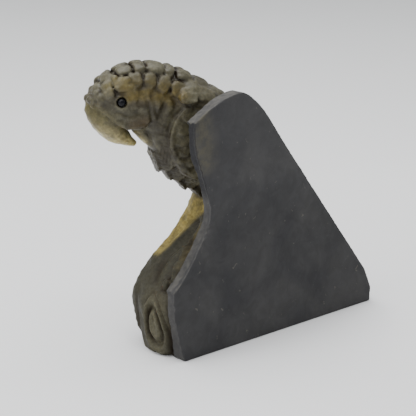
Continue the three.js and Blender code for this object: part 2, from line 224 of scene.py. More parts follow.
def add_mesh(field, points, faces, reach=0.0):
    """Adds a closed mesh to a field."""
    scale = openvdb.createLinearTransform(voxelSize=STEP)
    band = FAR / STEP
    level = openvdb.FloatGrid.createLevelSetFromPolygons(
        points, triangles=faces, transform=scale, halfWidth=band)
    cells, _ = room(points.min(axis=0) - FAR, points.max(axis=0) + FAR)
    distance = np.empty(field[cells].shape, np.float32)
    corner = [int(low + piece.start) for low, piece in zip(GRID_LOW, cells)]
    level.copyToArray(distance, ijk=corner)
    add(field, cells, distance, reach)


sample = new_field()
add_mesh(sample, *tube_mesh(spindle(*np.meshgrid(
    np.linspace(0, 1, 30), np.linspace(0, 6.2, 30), indexing="ij"))))
print("the trial spindle, cubic mm:", volume(sample))

# %% [markdown]
# The bird's head is turned away from the slab. It could be carved straight and turned afterwards,
# but then it couldn't join the rest of the stone. So it has a frame of its own, in which x runs
# forward from the nape, y out to the side that the camera sees, and z up.

# %% The bird's own frame
HEAD_TURN = math.radians(25)
NAPE_X = 16.2
COS, SIN = math.cos(HEAD_TURN), math.sin(HEAD_TURN)


def to_world(points):
    """Points of the bird's frame in the block's frame."""
    points = np.asarray(points, float)
    x, y, z = points[..., 0], points[..., 1], points[..., 2]
    return np.stack((NAPE_X + COS * x + SIN * y, COS * y - SIN * x, z), axis=-1)


def turn_to_world(direction):
    return to_world(direction) - to_world((0, 0, 0))


def in_bird(x, y):
    """Grid coordinates as distances forward and sideways in the bird's frame."""
    return COS * (x - NAPE_X) - SIN * y, SIN * (x - NAPE_X) + COS * y


def add_horn(field, form, reach=0.0, place=lambda points: points, sides=72, stations=90):
    t, turn = np.meshgrid(np.linspace(0, 1, stations), np.linspace(0, 2 * math.pi, sides + 1)[:-1],
                          indexing="ij")
    add_mesh(field, *tube_mesh(place(form(t, turn))), reach)


print("the nape stands at", to_world((0, 0, 90)).round(1))

# %% [markdown]
# Every feather on this bird is a small cut scale: a flat lens with steep sides, which rises from its
# root to its tip and so laps over the next one. It could be one mesh copied many times, but copies
# don't melt into the stone. As a formula it can be rounder and flatter for the cobbles of the crest,
# and a shaft and fine barbs can be worked into it before it joins the stone.

# %% Scales
def unit(v):
    return np.asarray(v, float) / np.linalg.norm(v)


def within(a, b, reach=0.0):
    """The part that two forms share. A reach rounds the edge between them."""
    return -least(-a, -b, reach)


def own_axes(at, along, out, bound):
    """Cells round a point, with coordinates across, along and out of a form that lies there."""
    along = unit(along)
    across = unit(np.cross(along, out))
    cells, (x, y, z) = room(np.asarray(at) - bound, np.asarray(at) + bound)
    offset = (x - at[0], y - at[1], z - at[2])
    axes = (across, along, np.cross(across, along))
    return cells, [sum(o * a for o, a in zip(offset, axis)) for axis in axes]


def scale(field, at, along, out, size, rounding=0.5, square=2.4, root=0.45, camber=0.3, reach=0.1,
          shaft=0.0, barbs=0.0, barb_gap=1.3):
    """Lays a cut scale on a field, with its tip along and its top facing out."""
    length, width, height = size[0] / 2, size[1] / 2, size[2]
    cells, (u, v, w) = own_axes(at, along, out, math.hypot(length, width) + height + 1)
    plan = (np.abs(u / width)**square + np.abs(v / length)**square)**(1 / square)
    side = (plan - 1) * min(length, width)
    rise = root + (1 - root) * np.clip((v / length + 1) / 2, 0, 1)
    top = w - height * (rise - camber * (u / width)**2 - 0.5 * camber * (v / length)**2)
    if shaft:
        top = top - shaft * np.exp(-(u / 0.5)**2)
    if barbs:
        stripe = np.cos(2 * math.pi * (v + 0.9 * np.abs(u)) / barb_gap)
        top = top + barbs * np.clip(stripe, 0, 1)**2
    add(field, cells, within(within(side, top, rounding), -w - height), reach)


sample = new_field()
scale(sample, (0, 0, 50), (0, 0, -1), (0, -1, 0), (8, 6, 2))
print("one trial scale, cubic mm:", volume(sample))

# %% [markdown]
# Softer forms, such as the brow and the shoulder of a wing, are flattened ovals. They could be
# scaled spheres, but as distances they melt into what they lie on. Scales and ovals sit on the neck,
# so a second helper finds a place on a tapering body and the ways down it and out of it.

# %% Pebbles and places on a body
def pebble(field, at, along, out, size, reach=0.15):
    """Lays a flattened oval on a field."""
    length, width, height = size[0] / 2, size[1] / 2, size[2]
    cells, (u, v, w) = own_axes(at, along, out, max(length, width, height) + 1.5)
    near = np.sqrt((u / width)**2 + (v / length)**2 + (w / height)**2) + 1e-6
    slope = np.sqrt((u / width**2)**2 + (v / length**2)**2 + (w / height**2)**2) / near
    add(field, cells, (near - 1) / slope, reach)


def on_horn(form, t, turn, place=lambda points: points):
    """A point on a tapering body, with the ways down it and out of it."""
    step = 0.01
    at = place(form(t, turn))
    down = place(form(t - step, turn)) - place(form(t + step, turn))
    around = place(form(t, turn + step)) - place(form(t, turn - step))
    out = np.cross(down, around)
    if np.dot(out, at - place(form(t, turn, 0.0))) < 0:
        out = -out
    return at, down, out


print("out of the spindle's top:", unit(on_horn(spindle, 0.5, 0.0)[2]).round(2))

# %% [markdown]
# A carver scores fine lines into the finished forms. Such a line has to follow the surface closely.
# Its points could be placed by eye, but a few rough points are enough when each is moved along the
# slope of the distances until it lies on the surface.

# %% Settling on the surface
def probe(field, places):
    """The field's value at any points, mixed from the eight samples round each."""
    scaled = places / STEP - GRID_LOW
    base = np.clip(np.floor(scaled).astype(int), 0, np.array(field.shape) - 2)
    share = np.clip(scaled - base, 0, 1)
    total = np.zeros(len(places))
    for corner in np.ndindex(2, 2, 2):
        weight = np.prod(np.where(corner, share, 1 - share), axis=1)
        i, j, k = (base + corner).T
        total += weight * field[i, j, k]
    return total


def uphill(field, places, reach=0.5):
    """The direction out of the stone at each point."""
    ways = [probe(field, places + d) - probe(field, places - d) for d in np.eye(3) * reach]
    slope = np.stack(ways, axis=1)
    return slope / np.maximum(np.linalg.norm(slope, axis=1, keepdims=True), 1e-9)


def settle(field, line, pieces=40):
    """A smooth line through some points, laid on the surface."""
    places = smooth_line(line, np.linspace(0, 1, pieces))
    for _ in range(4):
        places = places - probe(field, places)[:, None] * uphill(field, places)
    return places


TRIAL_LINE = [(-1, -2, 48), (0, -2, 50), (1, -2, 52)]
off_surface = np.abs(probe(sample, settle(sample, TRIAL_LINE))).max()
print("a settled line is off the surface by at most, mm:", round(float(off_surface), 3))

# %% [markdown]
# The groove itself could be cut with a thin tube. Raising the distances along the line does the same
# and gives soft ends and a round bottom, as a worn tool does. A negative depth raises a narrow ridge
# instead.

# %% Scored lines
def score(field, line, depth, width):
    """Sinks a groove along a line. A negative depth raises a ridge."""
    places = settle(field, line)
    cells, (x, y, z) = room(places.min(axis=0) - 3 * width, places.max(axis=0) + 3 * width)
    nearest = np.full(field[cells].shape, 1e3, np.float32)
    strength = np.zeros_like(nearest)
    along = np.sin(np.linspace(0.12, math.pi - 0.12, len(places)))**0.5
    for (px, py, pz), power in zip(places, along):
        near = (x - px)**2 + (y - py)**2 + (z - pz)**2
        strength = np.where(near < nearest, power, strength)
        nearest = np.minimum(nearest, near)
    field[cells] += (depth * strength * np.exp(-nearest / width**2)).astype(np.float32)


before = volume(sample)
score(sample, TRIAL_LINE, 0.4, 0.5)
print("a scored line took away, cubic mm:", before - volume(sample))

# %% [markdown]
# A hand leaves no surface quite even. Blender's noise textures could shake the mesh, but the grid
# needs the unevenness before it becomes a mesh. A few long waves in random directions are enough,
# and a fixed seed gives the same stone each time.

# %% The uneven hand
def ripples(x, y, z, size, seed, waves=6):
    """Gentle waves in random directions, from about -1 to 1."""
    dice = np.random.default_rng(seed)
    total = 0
    for _ in range(waves):
        way = unit(dice.normal(size=3)) * 2 * math.pi / (size * dice.uniform(0.7, 1.5))
        total = total + np.sin(way[0] * x + way[1] * y + way[2] * z + dice.uniform(0, 2 * math.pi))
    return total / math.sqrt(waves)


waves = ripples(*np.meshgrid(*(np.linspace(0, 20, 21),) * 3), 6, 3)
print("the waves run from", round(float(waves.min()), 1), "to", round(float(waves.max()), 1))

# %% [markdown]
# The slab and the face are flat forms with a drawn outline. An outline could be a curve object filled
# and extruded. Here it has to become distances, so the nearest point of each of its straight pieces
# is found for every sample of a plane, and a count of crossings tells inside from outside.

# %% Outlines
def outline_of(start, *runs):
    """A closed outline from straight starts and smooth runs, each run going on from the last."""
    points = [np.array(start, float)]
    for run in runs:
        through = np.vstack((points[-1][-1], run))
        points.append(smooth_line(through, np.linspace(0, 1, 6 * len(run)))[1:])
    return np.vstack(points)


def outline_distance(outline, a, b):
    """Distance from points of a plane to a closed outline, negative inside it."""
    nearest = np.full(np.broadcast(a, b).shape, 1e6)
    inside = np.zeros(nearest.shape, bool)
    for (pa, pb), (qa, qb) in zip(outline, np.roll(outline, -1, axis=0)):
        ea, eb = qa - pa, qb - pb
        share = np.clip(((a - pa) * ea + (b - pb) * eb) / (ea * ea + eb * eb + 1e-12), 0, 1)
        nearest = np.minimum(nearest, (a - pa - share * ea)**2 + (b - pb - share * eb)**2)
        if eb:
            inside ^= ((pb > b) != (qb > b)) & (a < pa + ea * (b - pb) / eb)
    return np.sqrt(nearest) * np.where(inside, -1, 1)


trial_square = outline_of([(0, 0), (10, 0), (10, 10), (0, 10)])
print("from a square's middle to its edge:", float(outline_distance(trial_square, 5.0, 5.0)))

# %% [markdown]
# A saw leaves a plate with flat faces. Its edge was broken by hand: it slants back on the trunk's
# side, and its rim is chipped. A bevel modifier makes an even slant, which would look machined, so
# the outline is pulled in towards the front instead, and shaken a little by the waves.

# %% Plates
BEVEL_RISE = 12.0


def plate(field, outline, back, thickness, bevel, chips, rounding):
    """A plate that stands in the grid from its back towards the front."""
    flat = outline_distance(outline, ticks[0][:, None], ticks[2][None, :])
    slope_x = np.clip(np.gradient(flat, STEP, axis=0), 0, 1)
    cells, (x, y, z) = room((-60, back - thickness - FAR, -5), (80, back + FAR, 120))
    forward = np.clip((back - y) / thickness * 2, 0, 1)
    pull = bevel * forward * np.clip(z / BEVEL_RISE, 0, 1)
    edge = flat[:, None, :] + pull * slope_x[:, None, :] * (x > 0)
    shake = ripples(x, y, z, 6, 3) + 0.7 * ripples(x, y, z, 2.4, 8)
    edge = edge + chips * shake * np.clip(z / 3, 0, 1) * np.where(slope_x[:, None, :] > 0.3, 1, 0.35)
    middle, half = back - thickness / 2, thickness / 2
    distance = within(edge, np.abs(y - middle) - half + 0 * edge, rounding)
    add(field, cells, np.clip(distance, -FAR, FAR).astype(np.float32))


print("a bevel grows over the lowest", BEVEL_RISE, "mm")

# %% [markdown]
# The sawn slab is the simplest part of the carving. It is the back of the raw block, and fills most of the
# picture. Its outline was read from the photograph as a few points on the long slope, the shoulder and the
# hollow, and smooth lines join them. Three small chips are cut one by one.

# %% The slab and its crust
BACK_Y = cad_box[1][1] * 1000
CRUST_THICKNESS = 6.0
CRUST_BEVEL = 2.2
HALF_FOOT = 47.5
LONG_SLOPE = [(-43.9, 13.9), (-21.6, 42.4), (-0.8, 69.1), (9, 82.2), (15.7, 88.7), (20.1, 91.1)]
SHOULDER = [(24.5, 90.9), (30.5, 89.5), (36.9, 86.8), (42.8, 83.6)]
HOLLOW = [(41.9, 72.1), (37.7, 60.4), (35.6, 50.9), (38.4, 43.2), (46.8, 31.5), (52.6, 25.9)]
FOOT_CORNER = [(52.1, 15), (HALF_FOOT, 0)]
CHIPS = [((36.8, BACK_Y, 45.6), 1.5), ((38.2, BACK_Y, 43.2), 0.9), ((52.4, BACK_Y, 20.5), 0.8)]
slab = new_field()
slab_outline = outline_of(
    [(HALF_FOOT, 0), (-HALF_FOOT, 0), (-HALF_FOOT - 0.26, 5.4), LONG_SLOPE[0]],
    LONG_SLOPE[1:], SHOULDER, HOLLOW, FOOT_CORNER)
plate(slab, slab_outline, BACK_Y, CRUST_THICKNESS, CRUST_BEVEL, chips=0.16, rounding=0.4)
for at, size in CHIPS:
    cells, (x, y, z) = room(np.array(at) - 3, np.array(at) + 3)
    cut(slab, cells, np.sqrt((x - at[0])**2 + (y - at[1])**2 + (z - at[2])**2) - size, 0.3)
print("slab, cubic mm:", volume(slab))

# %% [markdown]
# Behind the bird the block was cut back to a thin polished ground. It could be part of the slab, but
# it has another outline: it stays inside the crust's rim, and far inside it beside the near wing,
# where a deep groove runs down. So it is a second plate in front of the first.

# %% The ground behind the bird
GROUND_BACK = BACK_Y - CRUST_THICKNESS + 0.5
GROUND_THICKNESS = 5.0
GROUND_SLOPE = [(-21.4, 40.8), (-1.2, 66.4), (8.4, 79), (16, 87)]
BESIDE_WING = [(24, 88), (29.5, 81), (28.6, 68), (28, 54), (33.5, 43), (44.5, 29), (46.5, 14)]
stone = new_field()
ground_outline = outline_of(
    [(45, 0), (-47, 0), (-47, 5.4), (-43.4, 12.6)], GROUND_SLOPE, BESIDE_WING)
plate(stone, ground_outline, GROUND_BACK, GROUND_THICKNESS, 0, chips=0.25, rounding=1.0)
print("ground, cubic mm:", volume(stone))

# %% [markdown]
# The neck and head are one curved horn. The beak is a second horn that hooks down and back to the
# throat. On many birds the two are modelled as one form and pinched, but here the beak steps out of
# the face with a crisp edge, so it is a form of its own. A thin web of stone is left at the throat,
# because a free beak tip would snap.

# %% Neck and beak
NECK_UPPER = [(-3, 84.4), (6.2, 91), (14, 95.5), (22.5, 98.6), (30, 99.5), (37.5, 98.2),
              (44.2, 93.8), (48.4, 88.6)]
NECK_LOWER = [(5.6, 52), (13.6, 56.4), (20.6, 61.4), (25.4, 67.4), (28, 75.6), (33.2, 77.3),
              (38.4, 81), (44, 85)]
neck = horn(NECK_UPPER, NECK_LOWER, [8.6, 8.6, 8.4, 8.3, 8.5, 8.6, 7.6, 4.8])
bird = new_field()
add_horn(bird, neck, place=to_world)
BEAK_UPPER = [(48.6, 88.6), (49.2, 84.6), (47.9, 80.8), (45.5, 77.7), (42.5, 74.9), (39.0, 72.8),
              (32.2, 71.2)]
BEAK_LOWER = [(38, 89), (36.6, 85.5), (35.8, 82.6), (35.4, 80.4), (35.0, 78.8), (33.8, 76.5),
              (31.2, 72.7)]
beak = horn(BEAK_UPPER, BEAK_LOWER, [5.0, 5.6, 6.2, 6.2, 5.4, 4.2, 1.2])
add_horn(bird, beak, reach=0.1, place=to_world)
web = horn([(33.2, 81), (31.4, 80), (29.6, 79), (27, 76)],
           [(33.0, 77.0), (30.0, 73.6), (26.6, 70.6), (23.2, 68)], [3.0, 3.4, 3.8, 4])
add_horn(bird, web, reach=0.3, place=to_world)
print("neck and beak, cubic mm:", volume(bird))

# %% [markdown]
# The face is a gently domed plate on each side of the head. Its front edge steps down to the beak in
# one straight slant, and its lower edge is the jaw. Both edges are crisp on the real carving, so the
# plate is drawn as an outline with a domed face, and not as a ball.

# %% Face
FACE_OUTLINE = [(48.0, 88.2), (45.6, 86.3), (43.2, 84.0), (40.9, 81.9), (38.6, 80.2), (36.3, 78.7),
                (34.3, 79.0), (31.1, 79.1), (28.7, 79.5), (27.9, 81.3), (28.3, 84), (29.5, 88),
                (33, 92), (38, 93.6), (43, 93), (47, 91)]
FACE_CENTRE = (37, 0, 86)
FACE_HALF_WIDTH = 8.5
FACE_TOP = (31, 85)
FACE_BULGE = (0.0125, 0.012)


def add_face(field):
    centre = to_world(FACE_CENTRE)
    cells, (x, y, z) = room(centre - 15, centre + 15)
    forward, side = in_bird(x, y)
    outline = outline_distance(np.array(FACE_OUTLINE), forward + 0 * z, z + 0 * forward)
    fall = FACE_BULGE[0] * (forward - FACE_TOP[0])**2 + FACE_BULGE[1] * (z - FACE_TOP[1])**2
    distance = within(outline, np.abs(side) - FACE_HALF_WIDTH + fall, 0.9)
    add(field, cells, np.clip(distance, -FAR, FAR), 0.3)


add_face(bird)
print("face reaches", FACE_HALF_WIDTH, "mm to each side")

# %% [markdown]
# The crest is laid in rows of square cobbles on each side of the ridge. An array modifier would space
# them evenly, but on the carving they are small over the beak and large on the nape. So the joints
# are marked along the neck, and every other row is shifted by half a cobble as in a brick wall. The
# third row, over the eye, is worn almost away.

# %% The crest
CREST_JOINTS = np.array((
    0.995, 0.935, 0.843, 0.746, 0.634, 0.541, 0.417, 0.356, 0.245, 0.141, 0.047))
SHIFTED_JOINTS = (CREST_JOINTS[1:] + CREST_JOINTS[:-1]) / 2
CREST_ROWS = [(16, CREST_JOINTS, 5.9, 2.0), (47, SHIFTED_JOINTS, 5.9, 1.6),
              (74, CREST_JOINTS[3:9], 5.4, 0.5)]
dice = np.random.default_rng(4)
cobbles = 0
for turn, joints, width, height in CREST_ROWS:
    for front, rear in zip(joints, joints[1:]):
        t = (front + rear) / 2
        span = neck(front, math.radians(turn)) - neck(rear, math.radians(turn))
        length = float(np.linalg.norm(span))
        tall = height * (0.5 if t > 0.85 else 1.0)
        shake = dice.uniform(-1, 1, 3)
        for side in (-1, 1):
            at, down, out = on_horn(neck, t, math.radians(side * turn), to_world)
            down = down + 0.2 * shake[0] * np.cross(unit(out), down)
            size = (length * (0.95 + 0.05 * shake[1]), width * (1 + 0.06 * shake[2]), tall)
            scale(bird, at, down, out, size, rounding=1.1, square=3.0, root=0.85, camber=0.34,
                  reach=0.1 if height > 1 else 0.5)
            cobbles += 1
print("cobbles:", cobbles)

# %% [markdown]
# In front of the eye the second row breaks up into round lumps, down to the soft swelling over the beak's
# root. They follow no rule that a loop could use, so each lump is placed one by one, on both sides alike.

# %% Brow
BROW_LUMPS = [(42.6, 5.6, 93.9, 5.0, 4.4), (39.9, 5.4, 96.6, 2.6, 2.4), (36.2, 7.2, 96.0, 3.6, 3.0),
              (36.0, 8.1, 93.6, 4.4, 2.3), (44.0, 6.2, 90.3, 5.2, 4.2), (45.4, 4.4, 91.5, 3.2, 2.8),
              (44.9, 1.4, 92.8, 3.0, 3.0), (47.7, 2.3, 89.1, 3.2, 2.6), (47.2, 4.5, 87.8, 2.8, 2.6)]
BROW_SINK = 0.5
for forward, aside, height, length, width in BROW_LUMPS:
    for side in (-1, 1):
        at = to_world((forward, side * (aside - BROW_SINK), height))
        out = turn_to_world((0.3, side, 0.3))
        pebble(bird, at, turn_to_world((-1, 0, 0.25)), out, (length, width, 1.3), reach=0.2)
print("brow lumps:", 2 * len(BROW_LUMPS))

# %% [markdown]
# The breast is covered with broad shingles that lap downwards. Each lifts its lower tip, which makes
# the saw-toothed outline under the throat, and fine barbs are cut slantwise into it. Scored lines
# would mark the feathers but leave the outline smooth, so each shingle is a scale of its own.

# %% The breast
FIRST_SHINGLE = 0.40
SHINGLE_SPACING = 0.1
SHINGLE = (8.6, 8.6, 2.2)
SHINGLE_ROWS = [(180, 4, 0), (143, 4, 0.05), (217, 4, 0.05), (110, 3, 0.1), (250, 3, 0.1)]
for turn, count, lower in SHINGLE_ROWS:
    for i in range(count):
        t = FIRST_SHINGLE - SHINGLE_SPACING * i - lower
        at, down, out = on_horn(neck, max(t, 0.03), math.radians(turn), to_world)
        scale(bird, at, down, out, SHINGLE, rounding=0.35, square=2.8, root=0.1, camber=0.25,
              shaft=0.1, barbs=0.3, barb_gap=1.6)
print("shingle size in mm:", SHINGLE)

# %% [markdown]
# Folds of skin run down the side of the neck behind the jaw, and faint lines ring the cheek. Bump in
# the material could hint at them, but they catch the light as real grooves, so they are scored into
# the stone, on both sides alike. Each is a line of forward and upward places, a depth and a width.

# %% Folds and wrinkles
NECK_FOLDS = [
    ([(23.4, 87.5), (24.6, 83.4), (26.2, 80.2), (28.6, 77.8)], 0.75, 0.9),
    ([(22.0, 77.2), (24.6, 76.8), (27.4, 76.9)], 0.6, 0.7),
    ([(31.2, 91.6), (29.3, 88.4), (28.5, 85.2), (27.6, 82.4)], 0.35, 0.6),
    ([(28.7, 91.4), (27.0, 88.0), (26.4, 84.6), (25.4, 81.8)], 0.3, 0.6),
    ([(25.4, 91.6), (24.2, 88.6), (22.6, 85.4)], 0.3, 0.7),
    ([(20.8, 90.6), (19.8, 88.0), (18.6, 86.2)], 0.35, 0.7),
    ([(41.6, 86.8), (38.6, 84.8), (34.6, 84.2), (31.2, 85.6)], 0.55, 0.5),
    ([(41.2, 84.9), (37.8, 82.6), (33.8, 82.0), (30.2, 83.2)], 0.55, 0.5),
    ([(38.8, 82.2), (35.4, 80.8), (31.6, 80.9)], 0.35, 0.5),
    ([(40.6, 90.9), (38.2, 91.6), (35.8, 90.6), (34.6, 88.2)], 0.4, 0.55),
    ([(33.6, 91.2), (32.4, 88.4), (32.6, 86.2)], 0.3, 0.5),
    ([(26.6, 75.0), (24.4, 73.0), (23.4, 70.4)], 0.5, 0.7),
    ([(23.4, 75.0), (22.6, 72.4), (22.2, 69.6)], 0.35, 0.6),
]
for side in (-1, 1):
    for line, depth, width in NECK_FOLDS:
        score(bird, to_world([(s, side * 8.2, z) for s, z in line]), depth, width)
print("folds and lines on each side:", len(NECK_FOLDS))

# %% [markdown]
# Fine lines run along the beak from its root to its tip, as they do on a real one. The horn already
# knows every place on itself, so the lines are asked of it and not drawn by hand.

# %% Lines of the beak
for side in (-1, 1):
    for share in (0.22, 0.36, 0.5):
        line = beak(np.linspace(0.15, 0.92, 7), side * math.pi * share)
        score(bird, to_world(line), 0.2, 0.4)
print("beak from", BEAK_UPPER[0], "to", BEAK_UPPER[-1])

# %% [markdown]
# The torso runs from the shoulders down the long slope to the tail. It stands straight in the block,
# unlike the turned head, so it needs no frame of its own. The slab hides it from the camera, and its
# slope is taken from the slab's long edge.

# %% Torso
torso = horn(
    [(21, 87), (9.5, 77.5), (-1, 64), (-13, 48.5), (-25, 33), (-37, 18), (-45.5, 7.5)],
    [(31, 73), (29, 61), (21, 50.5), (9, 38), (-6, 24), (-21, 10.5), (-35, 1)],
    [8, 14, 16, 15, 12.5, 9.5, 7])
add_horn(bird, torso, reach=1.5)
print("bird with its torso, cubic mm:", volume(bird))

# %% [markdown]
# Between the crest and the slab the nape swells into the shoulder, and two large flat feathers lie on
# it. The swelling is one soft oval, because nothing on it has an edge, and the two feathers are
# scales on top of it.

# %% Nape
NAPE_FEATHERS = [((14.6, 8.4, 89.6), (6.5, 6.0, 1.4)), ((8.6, 7.4, 89.0), (7.5, 6.0, 1.4))]
pebble(bird, to_world((9.5, 4.6, 84.5)), turn_to_world((0.75, 0, 0.6)), turn_to_world((0, 1, 0.2)),
       (24, 15, 5.0), reach=1.0)
for at, size in NAPE_FEATHERS:
    scale(bird, to_world(at), turn_to_world((-1, 0, -0.35)), turn_to_world((-0.1, 1, 0.75)), size,
          rounding=0.7, square=3.5, root=0.6, camber=0.25)
print("nape feathers:", len(NAPE_FEATHERS))

# %% [markdown]
# Only the front rim of the near wing shows beside the crust. A sculptor would pull it out of the
# body, but its edge is crisp, so it is a flat oval pad that stands a little off the neck. A few
# scales lap back from its edge, a raised lip runs round it, and a groove sets it off.

# %% Near wing
NEAR_WING_AT = (10.4, 6.2, 73.6)
NEAR_WING_REACH = (11.4, 3.3, 14.0)
WING_LIP = [(13.9, 86.6), (17.3, 84.6), (19.5, 82.1), (20.8, 79.3), (21.5, 75.9), (21.5, 73.4),
            (20.9, 70.8), (19.6, 68.4), (17.8, 65.9), (15.4, 63.0), (13.0, 60.7)]
LIP_SCALES = 6


def add_near_wing(field):
    centre = to_world(NEAR_WING_AT)
    cells, (x, y, z) = room(centre - 17, centre + 17)
    forward, side = in_bird(x, y)
    u = (forward - NEAR_WING_AT[0]) / NEAR_WING_REACH[0]
    w = (z - NEAR_WING_AT[2]) / NEAR_WING_REACH[2]
    rim = (np.sqrt(u * u + w * w) - 1) * NEAR_WING_REACH[0]
    face = np.abs(side - NEAR_WING_AT[1]) - NEAR_WING_REACH[1]
    add(field, cells, within(rim, face, 1.3), 0.1)
    lip = smooth_line(WING_LIP, np.linspace(0.1, 0.95, LIP_SCALES + 1))
    for k in range(LIP_SCALES):
        middle = (lip[k] + lip[k + 1]) / 2
        at = to_world((middle[0] - 4.2, 9.0, middle[1] + 0.6))
        scale(field, at, turn_to_world((0.4 - 0.25 * k, 0, -1)), turn_to_world((0.1, 1, 0)),
              (6.2, 6.0, 1.3), rounding=0.35, root=0.1, camber=0.2)
    score(field, to_world([(s - 0.4, 9.2, z) for s, z in WING_LIP]), -0.35, 0.6)
    score(field, to_world([(s + 0.9, 8.4, z - 0.2) for s, z in WING_LIP]), 0.45, 0.6)


add_near_wing(bird)
print("bird with its near wing, cubic mm:", volume(bird))

# %% [markdown]
# Two narrow folds of the nape run under the wing's upper end. They are scored last, so that they cut
# through the wing and the nape together, as one stroke of the tool would.

# %% Folds of the nape
NAPE_FOLDS = [[(15.8, 9.0, 86.6), (12.4, 9.4, 86.6), (7.4, 9.0, 87.4)],
              [(13.6, 9.4, 84.8), (10.4, 9.6, 85.2), (5.6, 9.0, 86.0)]]
for fold in NAPE_FOLDS:
    score(bird, to_world(fold), 0.6, 0.55)
print("nape folds:", len(NAPE_FOLDS))

# %% [markdown]
# The far wing lies folded over the front. The photograph doesn't show it, so it is carved plainly, in
# keeping with the rest: long quills fan out from under a shoulder of short scales. The rows are laid
# from the lowest to the highest, as on a roof, so that each row laps over the one below it.

# %% Far wing
DOWN_SLOPE = np.array((-0.62, 0, -0.785))
ACROSS_SLOPE = np.array((0.785, 0, -0.62))
WING_FACE = np.array((-0.1, -1, 0.05))
FAR_WING_ROOT = np.array((17, -9, 72.0))
QUILLS = 6
SCALE_ROWS = (3, 2, 1, 0)
SCALES_IN_A_ROW = 5


def on_far_wing(down, across, y):
    at = FAR_WING_ROOT + down * DOWN_SLOPE + across * ACROSS_SLOPE
    return np.array((at[0], y, at[2]))


pebble(bird, FAR_WING_ROOT + 12 * DOWN_SLOPE, DOWN_SLOPE, WING_FACE, (44, 27, 8.5), reach=0.6)
for i in range(QUILLS):
    sideways = (i - (QUILLS - 1) / 2) * 3.1
    length = 34 - 3.2 * i
    at = on_far_wing(17 + length / 2, sideways, -13.4 + 0.25 * abs(sideways))
    scale(bird, at, DOWN_SLOPE, WING_FACE, (length, 5.4, 2.8), rounding=0.5, root=0.5, camber=0.35,
          shaft=0.35, barbs=0.2, barb_gap=1.6)
for row in SCALE_ROWS:
    for column in range(SCALES_IN_A_ROW):
        sideways = (column - 2 + (row % 2) * 0.5) * 4.9
        at = on_far_wing(row * 5 - 2.5, sideways * (0.75 + row * 0.1),
                         -16.3 + 0.3 * abs(sideways) + 0.12 * max(row - 1, 0))
        scale(bird, at, DOWN_SLOPE, WING_FACE + ACROSS_SLOPE * sideways * 0.04, (8.8, 6.4, 2.2),
              rounding=0.5, root=0.2, camber=0.35, shaft=0.25, barbs=0.2, barb_gap=1.5)
print("bird with both wings, cubic mm:", volume(bird))

# %% [markdown]
# The tail lies under the wing's tips and runs down to the plinth. It is four long quills side by
# side. They are the same scales as the wing's, only longer, so no new form is needed.

# %% Tail
TAIL_MIDDLE = np.array((-31, -5.9, 17))
TAIL_QUILLS = 4
for i in range(TAIL_QUILLS):
    at = TAIL_MIDDLE + ACROSS_SLOPE * (i - 1.5) * 3.4 - DOWN_SLOPE * 1.5 * i
    scale(bird, at, DOWN_SLOPE, (0, -1, 0), (32, 4.8, 2.8), rounding=0.5, root=0.5, camber=0.35,
          shaft=0.35, barbs=0.18, barb_gap=1.6)
print("the whole bird, cubic mm:", volume(bird))

# %% [markdown]
# The trunk is the plinth's main part. It is a stack of rounded oblongs that leans in under the bird,
# with bark ridges that run down it and twist a little. A tapering form has an oval section, which is
# too round for this trunk, so it has a formula of its own with squarer corners.

# %% Trunk
TRUNK_HEIGHT = 56
MIDDLE_X = [27.6, 27, 26.4, 23.0, 17.4, 12.7, 10.5]
MIDDLE_Y = [0.5, -1.5, -2.2, -2.8, -3, -3, -3]
REACH_X = [21.6, 22.2, 22.8, 20.1, 15.8, 12.9, 11.6]
REACH_Y = [10.4, 14.4, 15.8, 13.6, 10.4, 9, 8.6]
SQUARENESS = 3.2
BARK_RIDGES = 9
RIDGE_DEPTH = 0.02
RIDGE_TWIST = 2.2


def on_trunk(t, turn):
    """A point on the trunk: t runs up it, and turn goes round from the knot's side."""
    t, turn = np.broadcast_arrays(np.asarray(t, float), np.asarray(turn, float))
    middle_x, middle_y, reach_x, reach_y = (
        smooth_line(v, t.ravel()).reshape(t.shape) for v in (MIDDLE_X, MIDDLE_Y, REACH_X, REACH_Y))
    ridge = 1 + RIDGE_DEPTH * np.cos(BARK_RIDGES * turn + RIDGE_TWIST * t)
    both = np.abs(np.cos(turn))**SQUARENESS + np.abs(np.sin(turn))**SQUARENESS
    out = ridge * both**(-1 / SQUARENESS)
    return np.stack((
        middle_x + reach_x * np.cos(turn) * out,
        middle_y + reach_y * np.sin(turn) * out,
        t * TRUNK_HEIGHT,
    ), axis=-1)


trunk = new_field()
rings, turns = np.meshgrid(
    np.linspace(0, 1, 110), np.linspace(0, 2 * math.pi, 145)[:-1], indexing="ij")
add_mesh(trunk, *tube_mesh(on_trunk(rings, turns)))
print("trunk, cubic mm:", volume(trunk))

# %% [markdown]
# The perch runs out of the trunk's top, and three toes close round it. It is hidden in the
# photograph, so it is kept plain: one tapering form, and two ovals for each toe and its claw.

# %% Perch and toes
perch = horn([(3, 53), (10, 54), (17.4, 52), (23.8, 46), (28.8, 39)],
             [(2, 42), (10, 40), (16, 37), (22, 33), (27, 29)], [7, 7.4, 6.4, 5.0, 3.2])
add_horn(trunk, perch, reach=1.6, place=lambda points: points + np.array((0, -6, 0)))
TOES = 3
for i in range(TOES):
    at = np.array((4.0 + 4.4 * i, -12.2, 51.4 - 2.0 * i))
    pebble(trunk, at, (0.5, -0.8, -1), (0.2, -1, 0.6), (10, 3.6, 2.4), reach=0.3)
    pebble(trunk, at + np.array((2.0, -2.6, -3.6)), (0.5, -0.4, -1), (0.2, -1, 0.4), (5, 1.9, 1.3),
           reach=0.3)
print("trunk with its perch, cubic mm:", volume(trunk))

# %% [markdown]
# On the side that the camera sees, one ridge of bark divides the golden edge from the rest, a second
# short ridge stands beside a hollow, and a narrow groove runs down beside the knot. These were cut
# one by one on the real trunk, so here each is a line of its own: places, a depth and a width.

